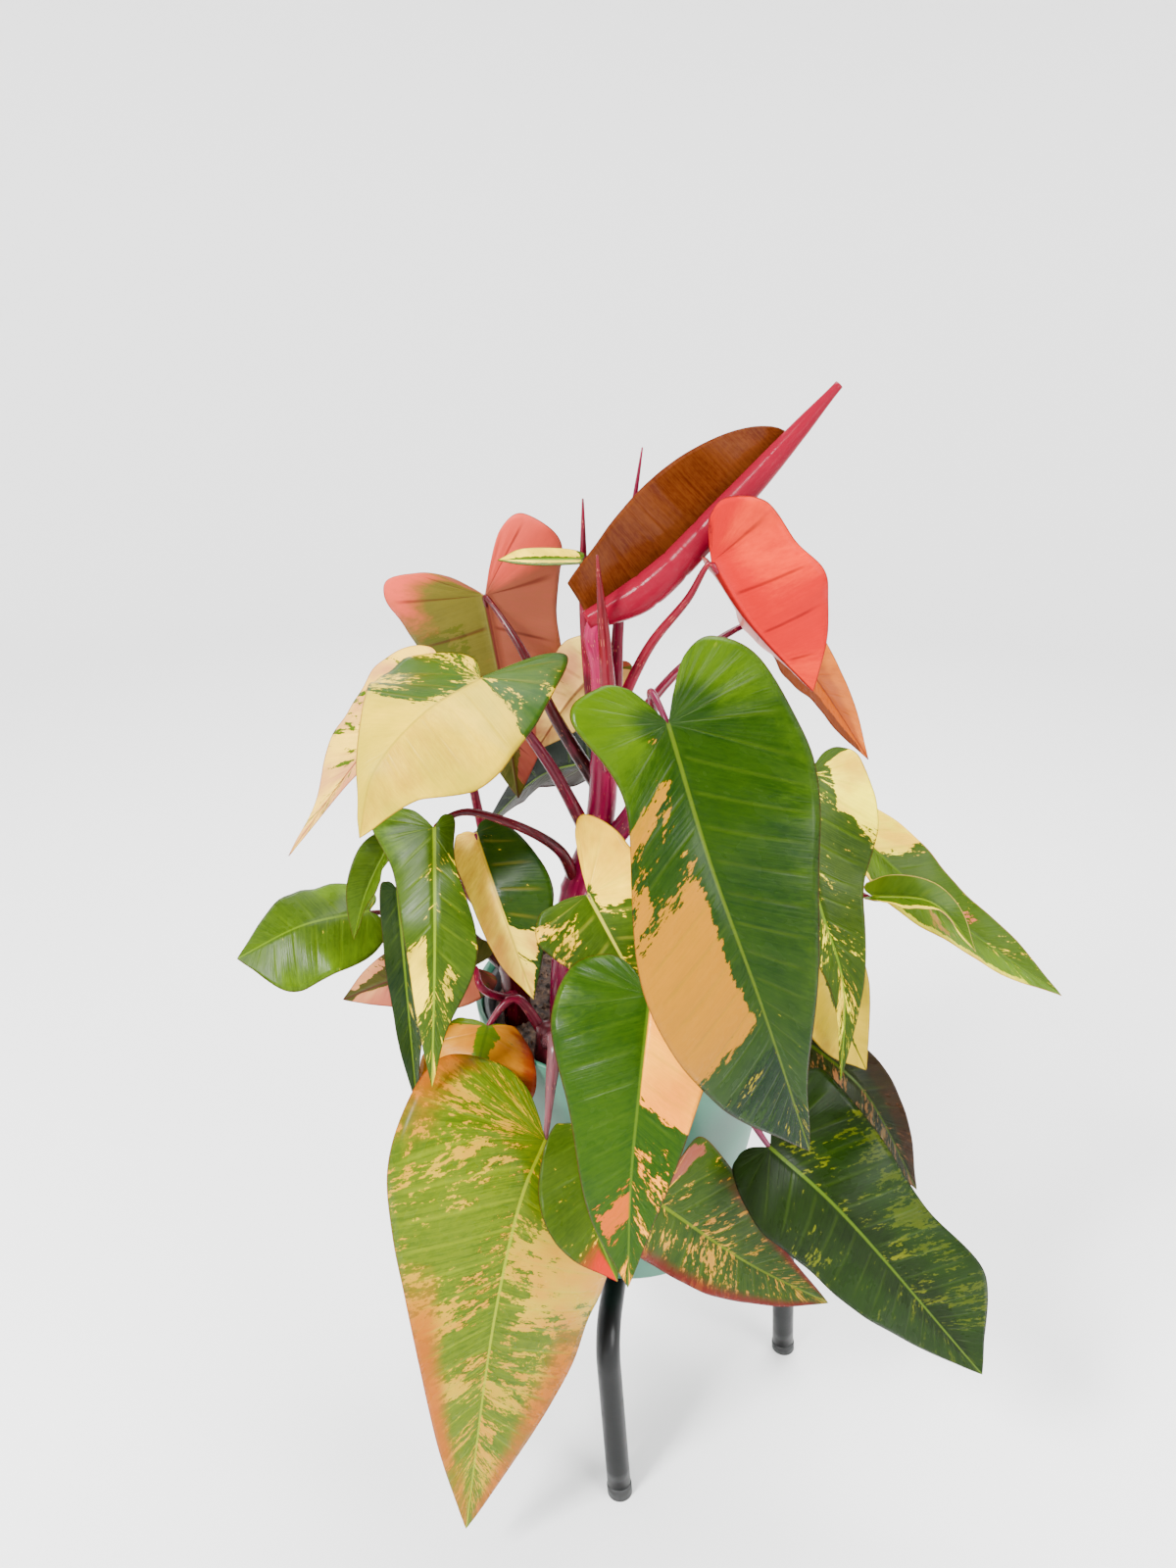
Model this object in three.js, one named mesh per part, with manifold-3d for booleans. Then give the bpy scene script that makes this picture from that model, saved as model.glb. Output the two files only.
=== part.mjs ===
// A strawberry shake philodendron in a tapered planter on a four-legged tube stand.
// Millimetres, Z up. Places are measured from the pot's axis on the floor: X right, Y back.

import * as THREE from 'three';
import ManifoldModule from 'manifold-3d';

const wasm = await ManifoldModule();
wasm.setup();
const { Manifold, Mesh: SolidMesh } = wasm;

// Driving dimensions
const GAP = 0.3;                 // clearance between pieces that touch
const RIM_Z = 330;               // height of the planter's rim
const RIM_RADIUS = 104;
const BASE_Z = 143;              // underside of the planter
const BASE_RADIUS = 76;
const PLANTER_WALL = 3.5;
const NURSERY_WALL = 1.6;
const NURSERY_DROP = 5;          // the nursery pot's lip lies this far below the rim
const SOIL_DROP = 14;            // soil below the rim
const TUBE_RADIUS = 8;           // stand tube
const TUBE_WALL = 1.5;
const LEG_BEND = [-16, -115];    // where the front leg turns down
const LEG_FOOT = [-6, -125];
const BEND_RADIUS = 24;
const CAP_HEIGHT = 9;
const BLADE = 1.1;               // thickness of a leaf blade
const MIDRIB = 1.3;              // how much the midrib adds below the blade
const LARGE = { from: 120, rays: 12, cells: 3 };  // lateral veins on half a blade, and cells along each,
const SMALL = { rays: 10, cells: 2 };              // for blades longer than LARGE.from, and for the rest

const FINISH = {
  mint: [0x6fa08c, 0.55, 0],
  black: [0x232525, 0.5, 0],
  steel: [0x2c2e2f, 0.3, 0.2],
  soil: [0x2c211b, 0.95, 0],
  stem: [0x8e1a3a, 0.45, 0],
  green: [0x3d6b2a, 0.45, 0],
  dark: [0x2f5b2e, 0.45, 0],
  cream: [0xe9cf8f, 0.5, 0],
  coral: [0xd9615c, 0.45, 0],
  copper: [0x9a551f, 0.35, 0],
  olive: [0x8a8a50, 0.55, 0],
  peach: [0xe0a878, 0.5, 0],
};

const object = new THREE.Group();
object.name = 'potted_philodendron';

// Solids

function finish(name) {
  const [color, roughness, metalness] = FINISH[name];
  return new THREE.MeshStandardMaterial({ color, roughness, metalness });
}

function solidOf(points, triangles) {
  const vertProperties = new Float32Array(points.flat());
  const triVerts = new Uint32Array(triangles.flat());
  const mesh = new SolidMesh({ numProp: 3, vertProperties, triVerts });
  mesh.merge();
  return new Manifold(mesh);
}

function addPoints(name, points, triangles, look) {
  const geometry = new THREE.BufferGeometry();
  geometry.setAttribute('position', new THREE.Float32BufferAttribute(points.flat(), 3));
  geometry.setIndex(triangles.flat());
  geometry.computeVertexNormals();
  const mesh = new THREE.Mesh(geometry, finish(look));
  mesh.name = name;
  object.add(mesh);
}

function addSolid(name, solid, look) {
  const { vertProperties, triVerts, numProp } = solid.getMesh();
  const points = [];
  for (let i = 0; i < vertProperties.length; i += numProp) {
    points.push([vertProperties[i], vertProperties[i + 1], vertProperties[i + 2]]);
  }
  const triangles = [];
  for (let i = 0; i < triVerts.length; i += 3) {
    triangles.push([triVerts[i], triVerts[i + 1], triVerts[i + 2]]);
  }
  addPoints(name, points, triangles, look);
}

// A closed profile of [radius, height] points turned about the Z axis. Points on the axis are one vertex.
function turned(profile, segments, lift = () => 0) {
  const points = [];
  const rings = profile.map(([radius, z], row) => {
    const count = radius === 0 ? 1 : segments;
    const ring = [];
    for (let i = 0; i < count; i += 1) {
      const angle = (2 * Math.PI * i) / segments;
      ring.push(points.length);
      const x = radius * Math.cos(angle);
      const y = radius * Math.sin(angle);
      points.push([x, y, z + lift(row, x, y)]);
    }
    return ring;
  });
  const triangles = [];
  const last = profile[0][0] === 0 ? rings.length - 1 : rings.length;
  for (let row = 0; row < last; row += 1) {
    const low = rings[row];
    const high = rings[(row + 1) % rings.length];
    for (let i = 0; i < segments; i += 1) {
      const next = (i + 1) % segments;
      if (low.length > 1) triangles.push([low[i], low[next], high[next % high.length]]);
      if (high.length > 1) triangles.push([low[i % low.length], high[next], high[i]]);
    }
  }
  return solidOf(points, triangles);
}

// A round bar through rings at the given stations, each ring square to the way through it.
function sweep(stations, radii, sides) {
  const points = [];
  const triangles = [];
  const last = stations.length - 1;
  const normal = new THREE.Vector3(0.31, 0.92, 0.23);
  stations.forEach((at, i) => {
    const way = stations[Math.min(i + 1, last)].clone().sub(stations[Math.max(i - 1, 0)]).normalize();
    normal.addScaledVector(way, -normal.dot(way)).normalize();
    const across = way.clone().cross(normal);
    for (let k = 0; k < sides; k += 1) {
      const angle = (2 * Math.PI * k) / sides;
      const out = normal.clone().multiplyScalar(radii[i] * Math.cos(angle));
      points.push(out.addScaledVector(across, radii[i] * Math.sin(angle)).add(at).toArray());
      const next = (k + 1) % sides;
      const [a, b] = [i * sides + k, i * sides + next];
      if (i < last) triangles.push([a, b, b + sides], [a, b + sides, a + sides]);
      else triangles.push([points.length - 1 - k + next, a, sides * (last + 1) + 1].reverse());
      if (i === 0) triangles.push([next, k, sides * (last + 1)]);
    }
  });
  points.push(stations[0].toArray(), stations[last].toArray());
  return solidOf(points, triangles);
}

// A leaf stalk: it ends in a nib just under its blade's joint.
function petiole(route, shape) {
  const joint = new THREE.Vector3(...shape.joint);
  const way = new THREE.Vector3(...(shape.bends ? shape.bends[0] : shape.tip)).sub(joint).normalize();
  const face = new THREE.Vector3(...shape.face);
  face.addScaledVector(way, -face.dot(way)).normalize();
  const end = joint.addScaledVector(face, -(BLADE / 2 + MIDRIB + GAP + 0.6)).addScaledVector(way, -0.5);
  const stations = [...route.map((p) => new THREE.Vector3(...p)), end];
  const curve = new THREE.CatmullRomCurve3(stations, false, 'centripetal');
  const steps = 2 * route.length + 2;
  const radii = Array.from({ length: steps + 1 }, (_, i) => 4 - (1.4 * i) / steps);
  radii[steps] = 0.9;
  return sweep(curve.getSpacedPoints(steps), radii, 6);
}

// A bar along a smooth route, its radius going from one value to another.
function bar(route, from, to, sides = 6, steps = 2 * route.length) {
  const curve = new THREE.CatmullRomCurve3(route.map((p) => new THREE.Vector3(...p)), false, 'centripetal');
  const stations = curve.getSpacedPoints(steps);
  return sweep(stations, stations.map((_, i) => from + ((to - from) * i) / steps), sides);
}

// Leaves

// The outline of half a blade from the inner edge of its lobe to its tip, as [along, across].
function halfOutline(length, [back, spread, belly, waist, narrow]) {
  return new THREE.SplineCurve([
    [-0.35 * back, 0.1 * spread],
    [-0.85 * back, 0.3 * spread],
    [-back, 0.58 * spread],
    [-0.5 * back, 0.93 * spread],
    [0.14 * length, belly],
    [0.45 * length, waist],
    [0.75 * length, narrow],
    [0.93 * length, 0.3 * narrow],
    [length, 0],
  ].map(([x, y]) => new THREE.Vector2(x, y)));
}

// Where a point of the flat blade lies on the bent one. side is 1 on the left and -1 on the right.
function bentPoint(leaf, midrib, along, across, side) {
  const u = THREE.MathUtils.clamp(along / leaf.length, 0, 1);
  const tangent = midrib.getTangentAt(u);
  const face = new THREE.Vector3(...leaf.face).lerp(new THREE.Vector3(...leaf.faceTip), u);
  face.addScaledVector(tangent, -face.dot(tangent)).normalize();
  const left = tangent.clone().cross(face);
  const at = midrib.getPointAt(u);
  if (along < 0) {
    at.addScaledVector(tangent, along * Math.cos(leaf.lift));
    at.addScaledVector(face, -along * Math.sin(leaf.lift));
  }
  const index = side > 0 ? 0 : 1;
  const fold = THREE.MathUtils.degToRad(leaf.fold[index]);
  const curl = THREE.MathUtils.degToRad(leaf.curl[index]) || 1e-4;
  const width = leaf.spread[index];
  const turn = fold + (curl * across) / width;
  at.addScaledVector(left, (side * width * (Math.sin(turn) - Math.sin(fold))) / curl);
  at.addScaledVector(face, (width * (Math.cos(fold) - Math.cos(turn))) / curl);
  const [height, count, phase] = leaf.wave;
  const beat = Math.sin(2 * Math.PI * ((count * along) / leaf.length + phase * side));
  const wave = height * (across / width) ** 1.5 * beat;
  at.addScaledVector(face, wave * Math.cos(turn));
  return at.addScaledVector(left, -side * wave * Math.sin(turn));
}

// The blade's middle surface: one grid of points for each half, sharing the midrib.
function bladeGrid(leaf, midrib) {
  const { rays, cells } = leaf.length > LARGE.from ? LARGE : SMALL;
  const points = [];
  const triangles = [];
  const ribs = new Map();
  const vertex = (along, across, side) => {
    if (across > 1e-6) return points.push(bentPoint(leaf, midrib, along, across, side)) - 1;
    const key = along.toFixed(3);
    if (!ribs.has(key)) ribs.set(key, points.push(bentPoint(leaf, midrib, along, 0, side)) - 1);
    return ribs.get(key);
  };
  const rim = [];
  for (const side of [1, -1]) {
    const outline = halfOutline(leaf.length, side > 0 ? leaf.left : leaf.right);
    const grid = [];
    for (let i = 0; i <= rays; i += 1) {
      const end = outline.getPoint(i / rays);
      const up = Math.max(0, (2 * i) / rays - 1);
      const start = 0.93 * leaf.length * (1 - (1 - up) ** 1.6);
      const row = [];
      for (let j = 0; j <= cells; j += 1) {
        const r = j / cells;
        row.push(vertex(start + (end.x - start) * r, end.y * r, side));
      }
      grid.push(row);
    }
    for (let i = 0; i < rays; i += 1) {
      for (let j = 0; j < cells; j += 1) {
        const [a, b, c, d] = [grid[i][j], grid[i + 1][j], grid[i + 1][j + 1], grid[i][j + 1]];
        const pair = a === b ? [[b, c, d]] : [[a, b, d], [b, c, d]];
        triangles.push(...pair.map(([p, q, s]) => (side > 0 ? [p, s, q] : [p, q, s])));
      }
    }
    rim.push([...grid[0], ...grid.slice(1).map((row) => row[cells])]);
  }
  const raised = [...ribs].filter(([key]) => key < 0.8 * leaf.length);
  return { points, triangles, rim, ribs: new Set(raised.map(([, k]) => k)) };
}

// The rim, its two halves joined into one loop, becomes the strip between the two faces.
function thicken({ points, triangles, rim, ribs }) {
  const normals = points.map(() => new THREE.Vector3());
  const edge = new THREE.Triangle();
  for (const [a, b, c] of triangles) {
    edge.set(points[a], points[b], points[c]);
    const normal = edge.getNormal(new THREE.Vector3()).multiplyScalar(edge.getArea());
    for (const k of [a, b, c]) normals[k].add(normal);
  }
  normals.forEach((normal) => normal.normalize());
  const top = points.map((p, k) => p.clone().addScaledVector(normals[k], BLADE / 2).toArray());
  const under = points.map((p, k) => {
    const depth = BLADE / 2 + (ribs.has(k) ? MIDRIB : 0);
    return p.clone().addScaledVector(normals[k], -depth).toArray();
  });
  const n = points.length;
  const faces = [...triangles, ...triangles.map(([a, b, c]) => [a + n, c + n, b + n])];
  const loop = [...rim[0], ...rim[1].slice(1, -1).reverse()];
  loop.forEach((a, k) => {
    const b = loop[(k + 1) % loop.length];
    faces.push([b, a, a + n], [b, a + n, b + n]);
  });
  return [[...top, ...under], faces];
}

function addLeaf(name, look, shape) {
  const leaf = {
    bends: [], faceTip: shape.face, fold: [10, 10], curl: [10, 10], wave: [2, 2, 0.2], lift: 0, ...shape,
  };
  leaf.spread = [leaf.left, leaf.right].map((side) => Math.max(...side.slice(1)));
  leaf.lift = THREE.MathUtils.degToRad(leaf.lift);
  const route = [leaf.joint, ...leaf.bends, leaf.tip].map((p) => new THREE.Vector3(...p));
  const midrib = new THREE.CatmullRomCurve3(route, false, 'centripetal');
  leaf.length = midrib.getLength();
  addPoints(name, ...thicken(bladeGrid(leaf, midrib)), look);
}

// A leaf that is opening: its right half is still rolled about the axis, its left half stands off as a flap.
function addRolledLeaf(name, look, { axis, radii, flap, steps }) {
  const curve = new THREE.CatmullRomCurve3(axis.map((p) => new THREE.Vector3(...p)), false, 'centripetal');
  const thickness = new THREE.SplineCurve(radii.map((r, i) => new THREE.Vector2(i / (radii.length - 1), r)));
  const points = [];
  const triangles = [];
  const [rows, onFlap, around] = steps;
  const columns = onFlap + around;
  for (let i = 0; i <= rows; i += 1) {
    const u = i / rows;
    const way = curve.getTangentAt(u);
    const front = new THREE.Vector3(0, -1, 0).addScaledVector(way, way.y).normalize();
    const up = front.clone().cross(way);
    const radius = thickness.getPoint(u).y;
    const reach = 2 + flap * Math.max(0, 1 - ((u - 0.36) / 0.45) ** 2) ** 0.6;
    for (let j = 0; j <= columns; j += 1) {
      const at = curve.getPointAt(u);
      if (j < onFlap) {
        const out = 1 - j / onFlap;
        at.addScaledVector(up, reach * out).addScaledVector(front, -radius + 0.25 * reach * out * out);
      } else {
        const turn = (j - onFlap) / around;
        const angle = -Math.PI / 2 - (turn * 5 * Math.PI) / 3;
        const r = radius * (1 - 0.2 * turn);
        at.addScaledVector(up, r * Math.cos(angle)).addScaledVector(front, r * Math.sin(angle));
      }
      points.push(at);
      if (i === rows || j === columns) continue;
      const a = i * (columns + 1) + j;
      const b = a + columns + 1;
      triangles.push([a, a + 1, b + 1], [a, b + 1, b]);
    }
  }
  const row = (i) => Array.from({ length: columns + 1 }, (_, j) => i * (columns + 1) + j);
  const column = (j) => Array.from({ length: rows + 1 }, (_, i) => i * (columns + 1) + j);
  const rim = [[...row(0), ...column(columns).slice(1)], [...column(0), ...row(rows).slice(1)]];
  addPoints(name, ...thicken({ points, triangles, rim, ribs: new Set() }), look);
}

// Each blade: where it joins its petiole, the bends of its midrib, its tip, and which way its face looks.
// Left and right are as seen from in front with the tip hanging down. Each gives, in millimetres, how far
// back the lobe reaches, its spread, and the half width at three places on the way to the tip.
// fold and curl are degrees, for the left and the right.
const LEAVES = {
  leaf_coral: ['coral', {
    joint: [41, -22, 625], bends: [[63, -20, 592]], tip: [106, -12, 545],
    face: [0.1, 0.95, 0.1], lift: -16,
    left: [30, 46, 46, 50, 32], right: [4, 10, 18, 22, 14],
    fold: [5, 60], curl: [10, 20], wave: [3, 1.5, 0.1],
  }],
  leaf_copper: ['peach', {
    joint: [86, 46, 572], bends: [[120, 44, 532]], tip: [155, 34, 482], face: [0.5, -0.7, 0.5],
    left: [14, 22, 24, 22, 12], right: [14, 22, 22, 18, 10], fold: [12, 20],
  }],
  leaf_olive: ['olive', {
    joint: [-92, 40, 590], bends: [[-84, 50, 530]], tip: [-76, 66, 440], face: [0.05, 0.97, 0.2],
    left: [48, 56, 42, 40, 20], right: [16, 72, 60, 46, 20], fold: [6, 6], curl: [12, 16],
    wave: [4, 2, 0.3],
  }],
  leaf_sliver: ['green', {
    joint: [-32, -2, 622], tip: [-80, -4, 622], face: [0, -0.5, 0.85],
    left: [2, 5, 7, 8, 7], right: [2, 5, 6, 7, 5], fold: [10, 10], wave: [0, 1, 0],
  }],
  leaf_yellow: ['cream', {
    joint: [-89, -40, 563], bends: [[-118, -76, 554], [-142, -100, 530]], tip: [-151, -108, 495],
    face: [-0.1, -0.2, 0.96], faceTip: [-0.1, -0.65, 0.6],
    left: [20, 70, 66, 38, 9], right: [52, 38, 50, 54, 28], fold: [-4, -8],
    curl: [-10, -20], wave: [3, 2, 0.4],
  }],
  leaf_pink: ['peach', {
    joint: [-121, 5, 551], bends: [[-160, -30, 514]], tip: [-201, -70, 465], face: [-0.6, -0.5, 0.6],
    left: [14, 34, 38, 30, 8], right: [10, 30, 28, 16, 6], fold: [8, 8], wave: [3, 2, 0.1],
  }],
  leaf_pale: ['olive', {
    joint: [-20, 26, 548], bends: [[-40, 36, 522]], tip: [-62, 40, 486], face: [0.2, 0.9, 0.1],
    left: [14, 22, 26, 24, 12], right: [12, 24, 28, 24, 12],
  }],
  leaf_back: ['dark', {
    joint: [-22, 52, 474], bends: [[-60, 78, 452]], tip: [-104, 96, 402], face: [-0.3, -0.3, 0.9],
    left: [18, 28, 32, 26, 14], right: [18, 28, 32, 26, 14],
  }],
  leaf_drooping: ['green', {
    joint: [-117, -62, 479], bends: [[-114, -108, 426]], tip: [-119, -118, 338], face: [0, -0.95, 0.4],
    left: [14, 42, 26, 17, 9], right: [8, 13, 12, 24, 8], fold: [-6, 4], curl: [-20, -10],
    wave: [2, 3, 0.2],
  }],
  leaf_narrow: ['dark', {
    joint: [-140, -66, 440], tip: [-134, -86, 296], face: [-0.4, -0.9, 0.2],
    left: [6, 11, 12, 11, 7], right: [6, 11, 12, 11, 7], fold: [16, 16], wave: [2, 3, 0.2],
  }],
  leaf_small: ['green', {
    joint: [-150, -26, 452], bends: [[-164, -40, 425]], tip: [-172, -52, 398], face: [-0.5, -0.8, 0.3],
    left: [6, 10, 15, 14, 8], right: [6, 10, 15, 12, 7], fold: [30, 30],
  }],
  leaf_far_left: ['green', {
    joint: [-168, -20, 400], bends: [[-206, -38, 400]], tip: [-246, -50, 383],
    face: [-0.15, -0.5, 0.85],
    left: [8, 22, 31, 36, 20], right: [8, 24, 33, 38, 36], fold: [-8, -8],
    curl: [-12, -12], wave: [3, 1.5, 0.2],
  }],
  leaf_grey: ['olive', {
    joint: [-100, -48, 376], bends: [[-140, -58, 376]], tip: [-180, -62, 361], face: [0, 0.8, -0.4],
    left: [14, 20, 24, 22, 12], right: [14, 18, 20, 20, 12], fold: [-10, -10], wave: [3, 2, 0.4],
  }],
  leaf_cream_fold: ['cream', {
    joint: [-96, -36, 463], bends: [[-80, -70, 434]], tip: [-60, -90, 380], face: [0.1, -0.9, 0.4],
    left: [4, 14, 18, 16, 13], right: [6, 15, 26, 33, 16], fold: [-20, 8], wave: [2, 2, 0.2],
  }],
  leaf_centre: ['green', {
    joint: [-28, -78, 444], bends: [[-6, -100, 410]], tip: [23, -112, 361], face: [-0.1, -0.75, 0.65],
    left: [4, 34, 38, 22, 10], right: [42, 36, 36, 22, 8], fold: [4, 4], curl: [-10, -10],
    wave: [3, 2, 0.1],
  }],
  leaf_front: ['green', {
    joint: [11, -140, 573], bends: [[30, -178, 517], [56, -192, 448]], tip: [92, -172, 338],
    face: [0.1, -0.92, 0.45], faceTip: [0.1, -1, -0.1],
    left: [25, 50, 32, 52, 38], right: [38, 61, 65, 41, 13], fold: [12, 0],
    curl: [-14, -10], wave: [2, 2, 0.2],
  }],
  leaf_right: ['green', {
    joint: [106, -20, 495], bends: [[109, -52, 435], [127, -70, 377]], tip: [129, -80, 313],
    face: [0.3, -0.92, 0.3],
    left: [8, 24, 24, 18, 6], right: [16, 36, 42, 26, 10], fold: [-4, 6], wave: [3, 3, 0.3],
  }],
  leaf_right_yellow: ['cream', {
    joint: [112, -30, 392], bends: [[126, -54, 356]], tip: [150, -60, 306], face: [0.1, -0.85, 0.45],
    left: [14, 24, 30, 28, 18], right: [12, 20, 26, 24, 12], fold: [8, 8],
  }],
  leaf_right_long: ['green', {
    joint: [140, 4, 448], bends: [[200, -18, 398]], tip: [284, -22, 337], face: [0.35, -0.55, 0.75],
    left: [18, 26, 28, 24, 14], right: [14, 22, 26, 22, 14], fold: [6, 10], wave: [3, 2, 0.2],
  }],
  leaf_right_curled: ['olive', {
    joint: [148, -39, 421], bends: [[182, -45, 420]], tip: [213, -48, 387], face: [0.1, -0.4, 0.9],
    left: [6, 10, 16, 14, 8], right: [6, 10, 14, 12, 7], fold: [30, 30],
  }],
  leaf_low_right: ['dark', {
    joint: [81, -118, 294], bends: [[115, -144, 275]], tip: [212, -164, 159],
    face: [-0.1, -0.75, 0.65], faceTip: [0, -0.9, 0.3],
    left: [11, 30, 41, 37, 23], right: [14, 64, 52, 40, 41], fold: [-6, -6],
    curl: [-12, -12], wave: [3, 2, 0.1],
  }],
  leaf_behind_right: ['dark', {
    joint: [114, -36, 312], bends: [[150, -52, 286]], tip: [194, -58, 206], face: [0.3, -0.75, 0.6],
    left: [4, 18, 24, 20, 12], right: [4, 14, 20, 20, 12], fold: [6, 6],
  }],
  leaf_low_centre: ['green', {
    joint: [12, -131, 265], bends: [[75, -112, 195]], tip: [132, -97, 145], face: [0, -0.87, 0.45],
    left: [4, 24, 34, 30, 18], right: [6, 50, 44, 30, 14], fold: [4, 4], curl: [-10, -10],
    wave: [2, 2, 0.3],
  }],
  leaf_front_centre: ['green', {
    joint: [6, -130, 410], bends: [[0, -162, 376], [-5, -184, 330]], tip: [-6, -194, 262],
    face: [0, -0.92, 0.4], faceTip: [0, -1, -0.1],
    left: [20, 50, 52, 34, 21], right: [3, 20, 36, 28, 13], fold: [-6, 6],
    curl: [-10, -10], wave: [2, 2, 0.1],
  }],
  leaf_under_left: ['green', {
    joint: [-33, -128, 319], bends: [[-28, -158, 287]], tip: [-11, -172, 243], face: [-0.1, -0.95, 0.3],
    left: [2, 16, 22, 27, 19], right: [4, 20, 24, 22, 10], fold: [6, 6], wave: [2, 2, 0.1],
  }],
  leaf_low_left: ['green', {
    joint: [-53, -126, 306], bends: [[-65, -148, 288], [-81, -168, 222]], tip: [-106, -178, 38],
    face: [0.25, -0.8, 0.5], faceTip: [0.15, -0.96, 0.1],
    left: [28, 84, 79, 46, 24], right: [10, 30, 69, 76, 37], fold: [-4, -10],
    curl: [-18, -20], wave: [4, 2, 0.2],
  }],
  leaf_orange: ['peach', {
    joint: [-90, -68, 346], bends: [[-95, -90, 330]], tip: [-99, -96, 262], face: [-0.1, -0.8, 0.6],
    left: [3, 24, 36, 38, 20], right: [3, 20, 32, 36, 20], fold: [-6, -6], curl: [-10, -10],
  }],
};

// Each stem: the points of its own axis from inside the soil, and the routes of the petioles that leave it,
// each of which ends under its blade.
const STEMS = {
  stem_main: {
    axis: [[-42, -38, 296], [-43, -32, 350], [-36, -24, 416], [-22, -18, 456], [-18, -14, 500], [-18, -12, 544]],
    petioles: {
      leaf_coral: [[-16, -14, 520], [8, -10, 572], [29, -18, 603]],
      leaf_copper: [[-18, -14, 500], [30, 24, 548], [76, 50, 570]],
      leaf_olive: [[-18, -15, 478], [-48, 0, 524], [-70, 14, 566]],
      leaf_sliver: [[-20, -6, 540], [-22, 2, 600]],
      leaf_yellow: [[-26, -20, 450], [-50, -30, 504], [-76, -28, 542]],
      leaf_pale: [[-18, -12, 500], [-20, 4, 530]],
      leaf_drooping: [[-36, -24, 424], [-46, -38, 453], [-74, -53, 478], [-102, -49, 483]],
      leaf_front: [[-30, -22, 430], [0, -34, 478], [6, -90, 560], [4, -120, 582]],
    },
  },
  stem_left: {
    axis: [[-74, -18, 296], [-76, -16, 340], [-84, -14, 400]],
    petioles: {
      leaf_pink: [[-82, -14, 380], [-100, 6, 470], [-112, 14, 536]],
      leaf_small: [[-80, -15, 370], [-118, -10, 430]],
      leaf_far_left: [[-78, -16, 350], [-120, -14, 390]],
      leaf_narrow: [[-80, -18, 380], [-116, -34, 432]],
      leaf_grey: [[-76, -18, 336], [-82, -46, 352], [-94, -64, 372]],
      leaf_cream_fold: [[-82, -16, 390], [-94, -20, 440]],
    },
  },
  stem_right: {
    axis: [[34, 6, 296], [36, 4, 360], [40, 2, 420]],
    petioles: {
      leaf_right: [[40, 2, 400], [80, 4, 474]],
      leaf_right_yellow: [[36, 2, 350], [80, -4, 392]],
      leaf_right_long: [[38, 6, 380], [90, 12, 436]],
      leaf_right_curled: [[38, 6, 374], [110, 0, 420]],
      leaf_back: [[38, 6, 410], [10, 34, 452]],
      leaf_behind_right: [[36, 0, 340], [76, -14, 354], [104, -20, 334]],
    },
  },
  stem_front: {
    axis: [[-2, -48, 296], [-2, -50, 340]],
    petioles: {
      leaf_centre: [[-2, -52, 336], [-18, -58, 400]],
      leaf_front_centre: [[0, -52, 330], [24, -84, 390], [21, -112, 424]],
      leaf_low_right: [[4, -54, 330], [41, -92, 338], [61, -107, 321]],
      leaf_low_centre: [[0, -56, 330], [-10, -90, 352], [-6, -112, 318]],
      leaf_under_left: [[-6, -56, 330], [-28, -90, 352], [-34, -114, 342]],
    },
  },
  stem_low_left: {
    axis: [[-53, -57, 296], [-54, -60, 340]],
    petioles: {
      leaf_low_left: [[-53, -62, 330], [-48, -92, 350], [-50, -106, 331]],
      leaf_orange: [[-54, -58, 330], [-74, -56, 358]],
    },
  },
};

for (const [name, [look, shape]] of Object.entries(LEAVES)) addLeaf(name, look, shape);
addRolledLeaf('leaf_unfurling', 'copper', {
  axis: [[-28, -10, 588], [6, -10, 607], [53, 0, 653], [111, 10, 717]],
  radii: [7, 11.5, 10.5, 9.5, 8, 5.5, 2.4], flap: 42, steps: [13, 3, 8],
});

// Narrow sheaths of fallen and coming leaves, each from its root in the stem to its tip.
const SHEATHS = [
  [[-14, -24, 500], [-17, -27, 560], [-23, -27, 630]],
  [[-24, -2, 520], [-30, 9, 590], [-31, 12, 654]],
  [[-12, -2, 520], [-9, 12, 590], [3, 17, 682]],
];

// Where a stem stands in the soil, with its clearance.
function socket([foot, next], radius, sides) {
  const low = [foot[0], foot[1], foot[2] - GAP];
  const around = (radius + GAP) / Math.cos(Math.PI / sides);
  return bar([low, next], around, around, sides, 1);
}

const STEM_RADIUS = [9.5, 8];
const STEM_SIDES = 10;
const sockets = [];
for (const [name, { axis, petioles }] of Object.entries(STEMS)) {
  const pieces = [bar(axis, ...STEM_RADIUS, STEM_SIDES)];
  for (const [leaf, route] of Object.entries(petioles)) pieces.push(petiole(route, LEAVES[leaf][1]));
  if (name === 'stem_main') {
    for (const route of SHEATHS) pieces.push(bar(route, 4.5, 0.8));
    pieces.push(bar([[-18, -13, 530], [-20, -11, 560], [-24, -10.5, 580]], 7.5, 6, 8));
  }
  addSolid(name, Manifold.union(pieces), 'stem');
  sockets.push(socket(axis, STEM_RADIUS[0], STEM_SIDES));
}

// Pot
const ROUND = 32;
addSolid('planter', turned([
  [0, BASE_Z], [BASE_RADIUS - 3, BASE_Z], [BASE_RADIUS, BASE_Z + 3], [RIM_RADIUS, RIM_Z - 2],
  [RIM_RADIUS - 1.5, RIM_Z], [RIM_RADIUS - PLANTER_WALL, RIM_Z - 1.5],
  [BASE_RADIUS - PLANTER_WALL, BASE_Z + 5], [0, BASE_Z + 5],
], ROUND), 'mint');

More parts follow.
